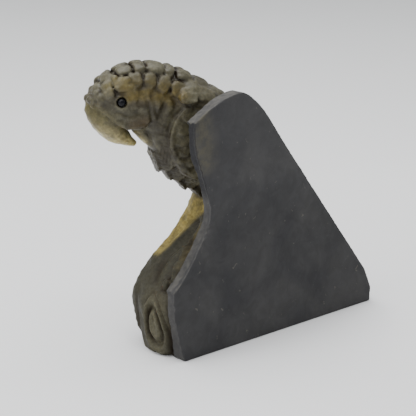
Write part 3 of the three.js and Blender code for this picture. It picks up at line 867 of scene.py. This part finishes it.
# %% Bark beside the crust
BARK_LINES = [
    ([(31.0, 3.5, 46.5), (30.8, -1.8, 41.6), (34.4, -4.3, 37.2), (37.6, -6.0, 33.6),
      (40.0, -8.5, 29.5)], -1.3, 1.2),
    ([(29.0, -2.0, 47.0), (30.6, -5.5, 41.0), (34.0, -7.6, 36.6), (37.4, -9.4, 32.6)], 0.9, 1.6),
    ([(34.5, 3.5, 38.0), (38.4, -0.5, 32.6), (42.3, 0.0, 28.3), (45.0, 1.2, 23.8)], -1.5, 1.3),
    ([(37.0, -3.4, 32.0), (41.4, -3.8, 27.6), (44.6, -3.0, 23.2)], 1.4, 1.3),
    ([(38.0, 5.0, 34.0), (42.4, 4.6, 28.6), (46.2, 5.2, 23.0)], 1.1, 1.2),
    ([(46.6, -9.0, 18.0), (47.4, -9.2, 13.0), (47.0, -9.0, 8.5), (46.0, -7.6, 3.5)], 1.0, 0.8),
    ([(25.5, -8, 45), (28.5, -3, 45.5), (30.5, 1.5, 46)], 0.7, 0.6),
    ([(29, -9.5, 41), (31.5, -5.5, 40.4)], 0.7, 0.6),
    ([(28, -8.5, 43.5), (30.2, -3.5, 42.2)], 0.7, 0.6),
    ([(33, -10.5, 36), (35, -7.5, 35.2)], 0.7, 0.6),
]
for line, depth, width in BARK_LINES:
    score(trunk, line, depth, width)
pebble(trunk, (38.3, -9.9, 31.4), (0.6, -0.25, -0.75), (0.7, -0.6, 0.4), (5.6, 2.6, 1.2), reach=1.2)
pebble(trunk, (45.6, 3.6, 24.8), (0.4, 0, -1), (1, 0, 0.3), (4.4, 2.8, 1.6), reach=0.6)
print("bark lines cut one by one:", len(BARK_LINES))

# %% [markdown]
# The rest of the trunk is hidden in the photograph. Wavy grooves run down it, deep and shallow by
# turns, so a loop can cut them all.

# %% Bark on the hidden side
HIDDEN_GROOVES = 10
for k in range(HIDDEN_GROOVES):
    turn = math.radians(-64 - 17 * k)
    heights = np.linspace(0.1, 0.86, 8)
    wave = 0.09 * np.sin(5 * heights + 1.7 * k)
    score(trunk, on_trunk(heights, turn + wave - 0.25 * heights), 1.0 if k % 2 else 0.6, 0.8)
print("trunk with its bark, cubic mm:", volume(trunk))

# %% [markdown]
# The knot is a drop-shaped eye of shallow rings on the trunk's outer side. It is narrow at the top.
# Rings of tube would look laid on. The real ones were cut into a low swelling, so here a swelling is
# added first, and each ring then raises or lowers the distances at its own share of the way out.

# %% Knot
KNOT_Y, KNOT_HEIGHT = 2.0, 10.5
KNOT_REACH_Y, KNOT_REACH_Z = 5.8, 10.8
KNOT_LEAN = -2.4
KNOT_NARROWING = 0.3
KNOT_RINGS = [(1.0, 0.6, 0.06), (0.82, -1.0, 0.13), (0.58, 1.2, 0.09), (0.34, -0.7, 0.16)]


def smoothstep(low, high, value):
    share = np.clip((value - low) / (high - low), 0, 1)
    return share * share * (3 - 2 * share)


def add_knot(field):
    cells, (x, y, z) = room((40, KNOT_Y - 11, -1), (54, KNOT_Y + 11, 27))
    rise = (z - KNOT_HEIGHT) / KNOT_REACH_Z
    middle = KNOT_Y + KNOT_LEAN * rise
    narrow = KNOT_REACH_Y * (1 - KNOT_NARROWING * np.clip(rise, -1, 1.2))
    away = np.sqrt(((y - middle) / narrow)**2 + rise**2)
    relief = 0.0
    for share, depth, width in KNOT_RINGS:
        relief = relief + depth * np.exp(-((away - share) / width)**2)
    notch = np.exp(-((y - middle) / 0.5)**2) * smoothstep(0.1, 0.2, rise) * smoothstep(0.5, 0.4, away)
    field[cells] += ((relief + 0.6 * notch) * smoothstep(1.15, 1.0, away)).astype(np.float32)


pebble(trunk, (47.2, KNOT_Y, 10.0), (0, 0, 1), (1, 0, 0), (26, 15, 3.0), reach=0.8)
add_knot(trunk)
print("knot rings:", len(KNOT_RINGS))

# %% [markdown]
# A low plinth of rough stone joins the trunk's foot to the tip of the tail. A box with a bevel would
# be too regular, so its front edge follows a drawn line, and waves make its top and sides uneven.

# %% Plinth
PLINTH_HEIGHT = 7
PLINTH_START = -47.1
PLINTH_END = 42
PLINTH_FRONT = [(PLINTH_START, -4), (-42, -8.5), (-28, -11), (-10, -14), (10, -17), (24, -17),
                (34, -12.5), (41, -5)]


def add_plinth(field):
    front = smooth_line(PLINTH_FRONT, np.linspace(0, 1, 60))
    cells, (x, y, z) = room((-51, -26, -5), (50, 12, PLINTH_HEIGHT + 5))
    rise = np.clip(z / PLINTH_HEIGHT, 0, 1)
    front_y = np.interp(ticks[0][cells[0]], front[:, 0], front[:, 1])[:, None, None] + 3 * rise**2
    top = PLINTH_HEIGHT + 1.2 * np.sin(x * 2 * math.pi / 18) + 0.5 * ripples(x, y, z, 9, 5)
    sides = np.maximum(x - PLINTH_END, PLINTH_START - x)
    shell = np.maximum(np.maximum(front_y - y, y - GROUND_BACK), sides)
    distance = within(shell, z - top, 1.5)
    distance = distance + 0.35 * ripples(x, y, z, 6, 6) * (z > 1)
    add(field, cells, np.clip(distance, -FAR, FAR).astype(np.float32), 1.0)


add_plinth(trunk)
print("trunk with its plinth, cubic mm:", volume(trunk))

# %% [markdown]
# The carving is one stone, so its groups are joined in the grid. Modifiers could join meshes, but
# they leave hard seams, and here each joint is rounded a little. Everything in front of the crust is
# trimmed at the crust's face and at the table, and then the slab and the eye sockets are worked in.

# %% One stone
SOCKET_RADIUS = 1.75
HAND_WAVES = [(0.10, 3.2, 21), (0.14, 8, 22)]
for group, reach in ((bird, 0.3), (trunk, 0.6)):
    stone = least(stone, group, reach)
cells, (x, y, z) = room((-60, -40, -5), (80, GROUND_BACK, 120))
for depth, size, seed in HAND_WAVES:
    stone[cells] += (depth * ripples(x, y, z, size, seed)).astype(np.float32)
stone = np.maximum(stone, (ticks[1] - GROUND_BACK)[None, :, None])
stone = least(stone, slab, 0.0)
stone = np.maximum(stone, -ticks[2][None, None, :])
for eye in ("eye_left", "eye_right"):
    low, high = (np.array(corner) * 1000 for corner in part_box(eye))
    cells, (x, y, z) = room(low - 3, high + 3)
    cx, cy, cz = (low + high) / 2
    cut(stone, cells, np.sqrt((x - cx)**2 + (y - cy)**2 + (z - cz)**2) - SOCKET_RADIUS, 0.1)
print("the whole stone, cubic mm:", volume(stone))

# %% [markdown]
# The zero surface of the grid becomes the mesh. A remesh modifier would give faces of one size. The
# volume library puts large faces on the flat back and small ones on the feathers, which keeps the
# carving under 200,000 triangles.

# %% From the grid to a mesh
grid = openvdb.FloatGrid(background=FAR)
grid.copyFromArray(np.ascontiguousarray(stone), ijk=tuple(int(c) for c in GRID_LOW))
grid.transform = openvdb.createLinearTransform(voxelSize=STEP)
points, triangles, quads = grid.convertToPolygons(isovalue=0.0, adaptivity=0.03)
print("mesh:", len(points), "vertices,", len(triangles) + 2 * len(quads), "triangles")

# %% [markdown]
# The mesh takes the place of the plain solid. Its points are in millimetres, so they are scaled to
# metres, and its faces are turned to look outwards. The grid tells which way is out of the stone at
# every point, and that is compared with the mesh as a test.

# %% The carved piece
MM = 0.001
carving_mesh = bpy.data.meshes.new("carving_stone")
faces = [tuple(int(i) for i in reversed(f)) for f in triangles]
faces += [tuple(int(i) for i in reversed(f)) for f in quads]
carving_mesh.from_pydata((points * MM).tolist(), [], faces)
carving_mesh.polygons.foreach_set("use_smooth", [True] * len(carving_mesh.polygons))
carving_mesh.validate()
carving = bpy.data.objects.new("carving_stone", carving_mesh)
bpy.context.scene.collection.objects.link(carving)
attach(carving, "root")
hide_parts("carving")
outward = uphill(stone, points)
facing = np.zeros(len(points) * 3)
carving_mesh.vertices.foreach_get("normal", facing)
agreement = (facing.reshape(-1, 3) * outward).sum(axis=1).mean()
print("mesh normals agree with the grid:", round(float(agreement), 3))

# %% [markdown]
# The stone changes from place to place. Its creases are painted dark brown as shade, its thin edges are
# painted pale as a highlight, it is greyer towards its foot, and its sawn crust is dark and dull. These
# could be painted by hand. The grid can measure them, so each is worked out once for every point of the
# mesh, and the material mixes its colours by them.

# %% What the stone is like at each point
def keep(name, values):
    """Stores one number for each point of the carving."""
    layer = carving_mesh.attributes.new(name, "FLOAT", "POINT")
    layer.data.foreach_set("value", np.ascontiguousarray(values, dtype=np.float32))
    print(name, "mean", round(float(np.mean(values)), 3), "max", round(float(np.max(values)), 2))


def crease_of(places, ways):
    """From 0 in the open to 1 deep between two forms."""
    closed = np.zeros(len(places))
    for reach in (0.8, 1.6, 2.6):
        closed += np.clip(1 - probe(stone, places + ways * reach) / reach, 0, 1)
    return closed / 3


def edge_of(places, ways):
    """From 0 on broad faces to 1 on a thin edge."""
    open_air = np.zeros(len(places))
    for reach in (0.5, 0.9, 1.4):
        open_air += np.clip(1 + probe(stone, places - ways * reach) / reach, 0, 1)
    return smoothstep(0.25, 1.6, open_air)


height = points[:, 2]
keep("crust", smoothstep(8.7, 9.3, points[:, 1]))
# Painted shade: how closed in each point is, to darken the creases.
keep("crease_shade", crease_of(points, outward))
# Painted highlight: how thin each edge is, to make it pale.
keep("edge", edge_of(points, outward))
keep("shade", smoothstep(60, 40, height))

# %% [markdown]
# Other colours are not worked out from the shape, so they are drawn: a short line with a soft width. Where
# several lines cross, the strongest one counts.

# %% Soft lines of colour
def near_line(places, line, width):
    """From 1 on a line to 0 a width away from it."""
    line = np.asarray(line, float)
    best = np.full(len(places), 1e9)
    for a, b in zip(line[:-1], line[1:]):
        way = b - a
        share = np.clip(((places - a) @ way) / (way @ way), 0, 1)
        best = np.minimum(best, np.linalg.norm(places - a - share[:, None] * way, axis=1))
    return 1 - smoothstep(0.1 * width, width, best)


def bird_line(line, width):
    return near_line(points, to_world(line), width)


def strongest(*shares):
    return np.maximum.reduce(shares)


print("points near the ridge:", int((bird_line([(40, 0, 98), (10, 0, 92)], 8) > 0).sum()))

# %% [markdown]
# The clearest colours are gold and amber, and both are painted glow of light that passes through thin
# stone. The trunk's upper edge is painted gold down to a sharp line along the ridge of bark, so that one is
# the side of a slanted plane. A soft band of painted amber glow lies under the crest.

# %% Painted gold and amber glow
# The painted gold glow of the trunk's thin upper edge lies between two slanted planes.
GLOW_BAND_AT = np.array((34.4, -4.5, 37.2))
GLOW_BAND_FACE = np.array((0.374, -0.620, 0.690))
GLOW_BAND_WIDTH = 13
across = (points - GLOW_BAND_AT) @ GLOW_BAND_FACE
glow_band = smoothstep(-0.6, 0.6, across) * smoothstep(GLOW_BAND_WIDTH, 9, across)
glow_band *= smoothstep(30.5, 33.5, height) * smoothstep(17, 23, points[:, 0]) * smoothstep(52.5, 49.5, height)
glow_band *= points[:, 1] < 9
keep("gold_glow", strongest(
    glow_band,
    0.3 * bird_line([(42.6, 6.5, 94), (40, 6.5, 96.5), (36, 8.5, 94.5)], 3.6),
    0.22 * near_line(points, [(33, 7, 44), (37, 7, 38), (42, 6.5, 31)], 2.6)))
# Painted amber glow under the crest.
keep("amber_glow", strongest(
    bird_line([(36.5, 8.2, 91.6), (28.2, 8.4, 91.2), (18, 7.8, 89.6)], 5.0),
    0.5 * bird_line([(37, 8.0, 94.6), (28.2, 8.0, 94.6), (19, 7.6, 92.4)], 5.0)))

# %% [markdown]
# The beak and the web at the throat are thin and horn yellow, partly the stone's own colour and partly
# painted glow of light through the thin stone, and the beak is painted paler to its tip as more glow. The
# colour stops sharply at the face's front edge, so the soft line is cut off there by a slanted step.

# %% Horn yellow
forward = in_bird(points[:, 0], points[:, 1])[0]
beak_share = bird_line([(47, 0, 86), (44, 0, 79), (38, 0, 75), (33, 0, 73)], 13)
beak_share *= smoothstep(36.5, 39, forward + 0.95 * (80 - height)) * smoothstep(89, 87, height)
beak_share *= height > 68
# Horn yellow: partly the stone's own colour, partly painted glow of light through the thin beak and web.
keep("beak", strongest(beak_share, bird_line([(32, 0, 77), (29, 0, 73.5)], 5)))
# The paler tip is painted glow.
keep("tip_glow", smoothstep(84, 74, height) * (height > 60))

# %% [markdown]
# Dark brown is painted as shade in the low places: on the neck, under the throat and in the trunk's long
# grooves. Round the eye it is the dark line of glue. The corner of the jaw is rust brown. The nape, the
# brow and the knot are paler than the rest. These are drawn as lines too, because they follow the carving
# and not its height.

# %% Painted shade, rust and pale places
low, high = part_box("eye_right")
eye_at = np.array((low + high) / 2) * 1000
# Painted shade in the low places, and the dark glue line round the eye.
keep("shade_and_glue", strongest(
    0.5 * bird_line([(25.5, 8, 82), (22.5, 8, 75), (24.5, 6, 69)], 5),
    0.75 * bird_line([(25, 3, 68), (19, 3, 60), (10, 3, 54)], 8),
    0.45 * bird_line([(26, 7, 73), (21, 8, 69)], 7),
    0.8 * near_line(points, [(41, -4, 30), (45, -3, 23), (47.5, -3.5, 17)], 2.4),
    0.8 * near_line(points, [(36, 6, 40), (41, 6, 31), (46, 6.5, 22), (48, 8, 4)], 2.6),
    0.7 * near_line(points, [(46.6, -9, 20), (47.4, -9.2, 12), (46, -9.8, 5)], 1.8),
    smoothstep(3.0, 2.2, np.linalg.norm(points - eye_at, axis=1))))
keep("rust", bird_line([(34.0, 8.3, 80.9), (30.6, 8.4, 81.6)], 3.4))
keep("pale", strongest(
    bird_line([(14, 7, 90.5), (7, 5, 89)], 7),
    0.8 * bird_line([(44, 5, 92), (38, 6, 95.5)], 5),
    0.9 * bird_line([(44, 0, 96), (32, 0, 101), (18, 0, 99)], 10),
    0.9 * near_line(points, [(50, 3, 3), (50, 1.5, 18)], 9)))

# %% [markdown]
# The crust is pale in patches along its upper rim, and painted paler still where the rim faces up, as
# painted light from above. Its high edge beside the wing is painted dark as a painted shadow, and the sawn
# back has one warm stain next to it. The way that the surface faces tells the rim from the flat back.

# %% Painted light, shadow and a stain on the crust
rim = smoothstep(0.5, 0.2, np.abs(outward[:, 1])) * (points[:, 1] > 9)
high_edge = smoothstep(0.85, 0.5, outward[:, 1]) * (points[:, 1] > 9) * smoothstep(54, 60, height)
high_edge *= smoothstep(0.2, 0.5, outward[:, 0]) * smoothstep(0.6, 0.3, outward[:, 2])
# Pale rim, painted paler still where it faces up: partly the crust's own colour, partly painted light from
# above.
keep("rim", rim * (0.35 + 0.65 * np.clip(outward[:, 2], 0, 1)) * (1 - high_edge))
# Painted shadow on the crust's high edge beside the wing, where the groove is in shade.
keep("wing_groove_shadow", high_edge)
keep("stain", near_line(points, [(39.5, 15, 84), (38, 15, 70)], 7) * (points[:, 1] > 14))

# %% [markdown]
# A material is a small machine of nodes. Each node could be placed by hand in the shader editor, but
# many of them repeat, so a few helpers make them. A helper takes a plain value or the output of
# another node, and gives back its own output.

# %% Helpers for materials
def plug(tree, value, socket):
    """Links the output of a node to a socket, or sets the socket to a plain value."""
    if isinstance(value, bpy.types.NodeSocket):
        tree.links.new(value, socket)
    else:
        socket.default_value = (*value, 1) if isinstance(value, tuple) else value


def blend_colour(tree, share, first, second, way="MIX"):
    """Mixes two colours, each an output or a plain colour."""
    node = tree.nodes.new("ShaderNodeMix")
    node.data_type = "RGBA"
    node.blend_type = way
    plug(tree, share, node.inputs[0])
    plug(tree, first, node.inputs[6])
    plug(tree, second, node.inputs[7])
    return node.outputs[2]


def calculate(tree, kind, *values):
    """One sum with the outputs of other nodes."""
    node = tree.nodes.new("ShaderNodeMath")
    node.operation = kind
    for socket, value in zip(node.inputs, values):
        plug(tree, value, socket)
    return node.outputs[0]


def new_material(name):
    material = bpy.data.materials.new(name)
    material.use_nodes = True
    return material, material.node_tree, material.node_tree.nodes["Principled BSDF"]


print("materials so far:", len(bpy.data.materials))

# %% [markdown]
# All the patterns in the stone come from soft noise. A picture of stone would need to be wrapped
# round the carving and would show its seams. Noise fills space, so the pattern runs through the
# stone as it does in a real block. A ramp then picks the part of the noise that matters.

# %% Clouds and ramps
def clouds(tree, size, detail=4.0, warp=0.0):
    """Soft noise with features of about one size, in metres."""
    place = tree.nodes.new("ShaderNodeTexCoord").outputs["Object"]
    noise = tree.nodes.new("ShaderNodeTexNoise")
    tree.links.new(place, noise.inputs["Vector"])
    noise.inputs["Scale"].default_value = 1 / size
    noise.inputs["Detail"].default_value = detail
    noise.inputs["Distortion"].default_value = warp
    return noise.outputs["Fac"]


def ramp(tree, value, *stops):
    """Turns a value into another through stops of (place, level)."""
    node = tree.nodes.new("ShaderNodeValToRGB")
    tree.links.new(value, node.inputs["Fac"])
    elements = node.color_ramp.elements
    while len(elements) < len(stops):
        elements.new(0.5)
    for element, (place, level) in zip(elements, stops):
        element.position = place
        element.color = (*level, 1) if isinstance(level, tuple) else (level, level, level, 1)
    return node.outputs["Color"]


def measured(tree, name, strength=None):
    """What was measured at each point of the carving, made weaker or stronger if asked."""
    node = tree.nodes.new("ShaderNodeAttribute")
    node.attribute_name = name
    share = node.outputs["Fac"]
    return share if strength is None else calculate(tree, "MULTIPLY", share, strength)


print("measured on the carving:", [layer.name for layer in carving_mesh.attributes if layer.name[0] != "."])

# %% [markdown]
# The polished stone is olive and grey. Its colour is built like paint, from the ground up: broad clouds,
# fine flecks, then each measured quality lays its own colour over them, among them painted highlight on the
# edges, painted glow in the thin parts and painted shade in the low places. Grit and the painted shade in
# the creases come last, so that they lie over the rest.

# %% Colour of the polished stone
OLIVE = (0.040, 0.034, 0.019)
GREY_OLIVE = (0.088, 0.081, 0.048)
PALE_OLIVE = (0.145, 0.134, 0.086)
TRUNK_GREY = (0.038, 0.036, 0.026)
BEAK_OLIVE = (0.125, 0.108, 0.040)
# The beak's pale tip is painted glow of light through the thin stone.
BEAK_TIP_GLOW = (0.470, 0.400, 0.180)
# Gold and amber are painted glow of light that passes through thin stone.
GOLD = (0.310, 0.245, 0.075)
AMBER = (0.155, 0.112, 0.024)
# Painted shade in creases and low places, and the dark glue line round the eye.
SHADE_AND_GLUE_BROWN = (0.018, 0.012, 0.006)
RUST = (0.070, 0.046, 0.018)
GRIT = (0.42, 0.42, 0.40)


def tinted(tree, body, name, strength, colour):
    """Lays a colour over the body where a measured quality is strong."""
    return blend_colour(tree, measured(tree, name, strength), body, colour)


def stone_body(tree):
    """The polished stone's colour, from its clouds and from what was measured on it."""
    broad = clouds(tree, size=0.011, warp=0.8)
    fine = clouds(tree, size=0.0026, detail=5.0, warp=0.4)
    body = blend_colour(tree, ramp(tree, broad, (0.36, 0.0), (0.64, 1.0)), OLIVE, GREY_OLIVE)
    body = blend_colour(tree, ramp(tree, fine, (0.48, 0.0), (0.64, 0.5)), body, PALE_OLIVE)
    # Pale on thin edges: a painted highlight.
    body = tinted(tree, body, "edge", 0.5, PALE_OLIVE)
    body = tinted(tree, body, "shade", 0.8, TRUNK_GREY)
    body = tinted(tree, body, "pale", 0.5, PALE_OLIVE)
    lively = ramp(tree, fine, (0.36, 0.5), (0.56, 1.0))
    # Horn colour, with the tip painted pale as glow of light through the thin beak.
    horn_colour = blend_colour(tree, measured(tree, "tip_glow"), BEAK_OLIVE, BEAK_TIP_GLOW)
    for name, colour in (("beak", horn_colour), ("gold_glow", GOLD)):
        body = tinted(tree, body, name, lively, colour)
    patchy = ramp(tree, clouds(tree, size=0.004, warp=1.0), (0.34, 0.425), (0.6, 0.7225))
    # Painted amber glow under the crest.
    body = tinted(tree, body, "amber_glow", patchy, AMBER)
    # Painted shade in the low places, and the dark glue line round the eye.
    body = tinted(tree, body, "shade_and_glue", 0.8, SHADE_AND_GLUE_BROWN)
    body = tinted(tree, body, "rust", 0.7, RUST)
    grit = ramp(tree, clouds(tree, size=0.0009, detail=3.0), (0.40, 0.0), (0.62, 0.45))
    body = blend_colour(tree, grit, body, GRIT, "MULTIPLY")
    # The painted shade in the creases is weaker where the stone is painted to glow.
    bright = calculate(tree, "MAXIMUM", measured(tree, "gold_glow"), measured(tree, "beak"))
    bare = calculate(tree, "MULTIPLY_ADD", bright, -0.7, 1.0)
    return tinted(tree, body, "crease_shade", calculate(tree, "MULTIPLY", bare, 1.3), SHADE_AND_GLUE_BROWN)


print("the gold is brighter than the olive by", round(GOLD[0] / OLIVE[0], 1), "times")

# %% [markdown]
# The crust is the same stone left rough. It is darker and greyer, with smears, a few pale flecks, a pale
# rim with painted light from above, painted shadow on its high edge beside the wing and one warm stain. It
# is kept apart from the polished stone, so that either can be changed alone.

# %% Colour of the crust
CRUST_GREY = (0.040, 0.040, 0.042)
CRUST_PALE = (0.058, 0.057, 0.057)
# Painted shadow colour for the high edge beside the wing.
CRUST_SHADOW = (0.012, 0.012, 0.014)
# Pale rim colour, partly the crust's own and partly painted light from above.
CRUST_RIM_PALE_AND_LIT = (0.100, 0.096, 0.088)
CRUST_STAIN = (0.085, 0.078, 0.056)
CRUST_SMEAR = (0.72, 0.72, 0.70)
CRUST_FLECK = (0.16, 0.15, 0.12)


def crust_colour(tree):
    """The rough crust: dull grey with a few pale flecks."""
    broad = clouds(tree, size=0.02, warp=0.5)
    rough = blend_colour(tree, ramp(tree, broad, (0.35, 0.0), (0.65, 1.0)), CRUST_GREY, CRUST_PALE)
    patchy = ramp(tree, clouds(tree, size=0.002), (0.35, 0.3), (0.6, 1.0))
    # The rim's paleness: partly its own, partly painted light from above.
    rough = tinted(tree, rough, "rim", patchy, CRUST_RIM_PALE_AND_LIT)
    rough = tinted(tree, rough, "stain", calculate(tree, "MULTIPLY", patchy, 0.85), CRUST_STAIN)
    # Painted shadow on the high edge beside the wing.
    rough = tinted(tree, rough, "wing_groove_shadow", 0.8, CRUST_SHADOW)
    smears = ramp(tree, clouds(tree, size=0.005, detail=5.0, warp=1.0), (0.40, 0.0), (0.62, 0.4))
    rough = blend_colour(tree, smears, rough, CRUST_SMEAR, "MULTIPLY")
    flecks = ramp(tree, clouds(tree, size=0.0022, detail=1.0, warp=1.0), (0.72, 0.0), (0.80, 0.45))
    return blend_colour(tree, flecks, rough, CRUST_FLECK)


print("the crust's flecks are brighter than it by", round(CRUST_FLECK[0] / CRUST_GREY[0], 1), "times")

# %% [markdown]
# Polished stone has a soft broad gloss, and light goes a little way into it, most of all where it is
# thin. Subsurface light does that in the shader. The crust is dull and lets no light in, and small
# bumps give both a grain.

# %% Finish of the stone
POLISHED = (0.28, 0.5)
DULL = (0.62, 0.62, 0.62)
ROUGH = (0.8, 0.8, 0.8)


def stone_material():
    material, tree, shader = new_material("labradorite")
    crust = measured(tree, "crust")
    colour = blend_colour(tree, crust, stone_body(tree), crust_colour(tree))
    tree.links.new(colour, shader.inputs["Base Color"])
    polish = ramp(tree, clouds(tree, size=0.003), (0.35, POLISHED[0]), (0.65, POLISHED[1]))
    dull = tinted(tree, polish, "shade", 0.7, DULL)
    tree.links.new(blend_colour(tree, crust, dull, ROUGH), shader.inputs["Roughness"])
    thin = calculate(tree, "MAXIMUM", measured(tree, "beak"), measured(tree, "gold_glow"))
    glow = calculate(tree, "MULTIPLY_ADD", thin, 0.4, 0.15)
    inner = calculate(tree, "MULTIPLY", glow, calculate(tree, "SUBTRACT", 1.0, crust))
    tree.links.new(inner, shader.inputs["Subsurface Weight"])
    shader.inputs["Subsurface Radius"].default_value = (1.0, 0.75, 0.38)
    shader.inputs["Subsurface Scale"].default_value = 0.002
    gloss = ramp(tree, measured(tree, "shade"), (0.0, 0.3), (1.0, 0.14))
    tree.links.new(gloss, shader.inputs["Specular IOR Level"])
    grain = tree.nodes.new("ShaderNodeBump")
    grain.inputs["Strength"].default_value = 0.4
    grain.inputs["Distance"].default_value = 0.0004
    tree.links.new(clouds(tree, size=0.0012, detail=6.0), grain.inputs["Height"])
    tree.links.new(grain.outputs["Normal"], shader.inputs["Normal"])
    return material


labradorite = stone_material()
carving_mesh.materials.append(labradorite)
print("stone material nodes:", len(labradorite.node_tree.nodes))

# %% [markdown]
# Each eye is a small black bead set into its socket. The plain solid has few faces, and a shiny thing
# shows every one of them, so a fine sphere takes its place. An icosphere has faces of one size, with
# no pinched poles to catch the light.

# %% Eyes
import bmesh


def eye_material():
    material, tree, shader = new_material("eye_bead")
    depths = clouds(tree, size=0.0012, detail=3.0)
    colour = ramp(tree, depths, (0.35, (0.002, 0.002, 0.003)), (0.7, (0.006, 0.006, 0.009)))
    tree.links.new(colour, shader.inputs["Base Color"])
    wear = ramp(tree, clouds(tree, size=0.0008), (0.3, 0.12), (0.7, 0.25))
    tree.links.new(wear, shader.inputs["Roughness"])
    shader.inputs["Specular IOR Level"].default_value = 0.18
    return material


BEAD_DETAIL = 4
bead_finish = eye_material()
for eye in ("eye_left", "eye_right"):
    low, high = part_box(eye)
    centre, radius = (low + high) / 2, (high.z - low.z) / 2
    shape = bmesh.new()
    bmesh.ops.create_icosphere(shape, subdivisions=BEAD_DETAIL, radius=radius)
    bmesh.ops.translate(shape, verts=shape.verts, vec=centre)
    mesh = bpy.data.meshes.new(eye + "_bead")
    shape.to_mesh(mesh)
    shape.free()
    mesh.polygons.foreach_set("use_smooth", [True] * len(mesh.polygons))
    mesh.materials.append(bead_finish)
    bead = bpy.data.objects.new(eye + "_bead", mesh)
    bpy.context.scene.collection.objects.link(bead)
    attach(bead, "root")
    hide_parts(eye)
    print(eye, "radius mm", round(radius * 1000, 2))

# %% [markdown]
# The carving stands on a wide pale floor. A sheet that curves up behind it would give the same soft
# picture, but it would hide the carving from the other side. So the floor is flat and wide enough to have
# no horizon in view, and its colour is painted darker towards the far side as painted shade where the light
# falls off.

# %% Pale floor
FLOOR_REACH = 3.0
FADE_START = 0.20
FADE_END = 0.75
FLOOR_NEAR = ((0.875, 0.88, 0.885), (0.905, 0.91, 0.915))
# The far floor's colour is painted shade.
FLOOR_FAR_SHADE = (0.665, 0.675, 0.675)


def lay_floor():
    away = Vector((-view_from.x, -view_from.y, 0)).normalized()
    aside = Vector((away.y, -away.x, 0))
    corners = ((-1, -1), (-1, 1), (1, 1), (1, -1))
    vertices = [(away * d + aside * s) * FLOOR_REACH for d, s in corners]
    mesh = bpy.data.meshes.new("pale_floor")
    mesh.from_pydata(vertices, [], [(0, 1, 2, 3)])
    material, tree, shader = new_material("pale_paper")
    behind = tree.nodes.new("ShaderNodeVectorMath")
    behind.operation = "DOT_PRODUCT"
    behind.inputs[1].default_value = away / (FADE_END - FADE_START)
    tree.links.new(tree.nodes.new("ShaderNodeTexCoord").outputs["Object"], behind.inputs[0])
    # Painted shade: the floor's colour darkens away from the carving, where the light falls off.
    fade = calculate(tree, "SUBTRACT", behind.outputs["Value"], FADE_START / (FADE_END - FADE_START))
    fade = ramp(tree, fade, (0.0, 0.0), (1.0, 1.0))
    near = ramp(tree, clouds(tree, size=0.4, detail=2.0), (0.3, FLOOR_NEAR[0]), (0.7, FLOOR_NEAR[1]))
    tree.links.new(blend_colour(tree, fade, near, FLOOR_FAR_SHADE), shader.inputs["Base Color"])
    shader.inputs["Roughness"].default_value = 0.9
    mesh.materials.append(material)
    sheet = bpy.data.objects.new("pale_floor", mesh)
    bpy.context.scene.collection.objects.link(sheet)
    print("the floor fades from", FADE_START, "to", FADE_END, "m behind the carving")


lay_floor()

# %% [markdown]
# A light tent gives soft light from everywhere and a little more from above. It could be built from
# glowing walls, but a pale world does the same with less noise. Two large lamps give the stone its
# broad gloss: large, because a small lamp makes a hard bright spot.

# %% Light
def lamp(name, place, size, power):
    light = bpy.data.lights.new(name, "AREA")
    light.shape = "RECTANGLE"
    light.size, light.size_y = size
    light.energy = power
    holder = bpy.data.objects.new(name, light)
    holder.location = place
    holder.rotation_euler = (Vector(place) - LOOK_AT).to_track_quat("Z", "Y").to_euler()
    bpy.context.scene.collection.objects.link(holder)


tent = bpy.data.worlds.new("tent")
tent.use_nodes = True
tent_light = tent.node_tree.nodes["Background"].inputs
tent_light["Color"].default_value = (0.97, 0.98, 1.0, 1)
tent_light["Strength"].default_value = 0.55
bpy.context.scene.world = tent
lamp("top_lamp", (0.1, -0.1, 1.1), (1.2, 1.2), 18)
lamp("side_lamp", (0.9, -0.1, 0.6), (0.7, 0.7), 4)
print("lamps:", [thing.name for thing in bpy.data.lights])

# %% [markdown]
# The finish of a part mustn't change its size. At the end the scene is brought up to date.

bpy.context.view_layer.update()
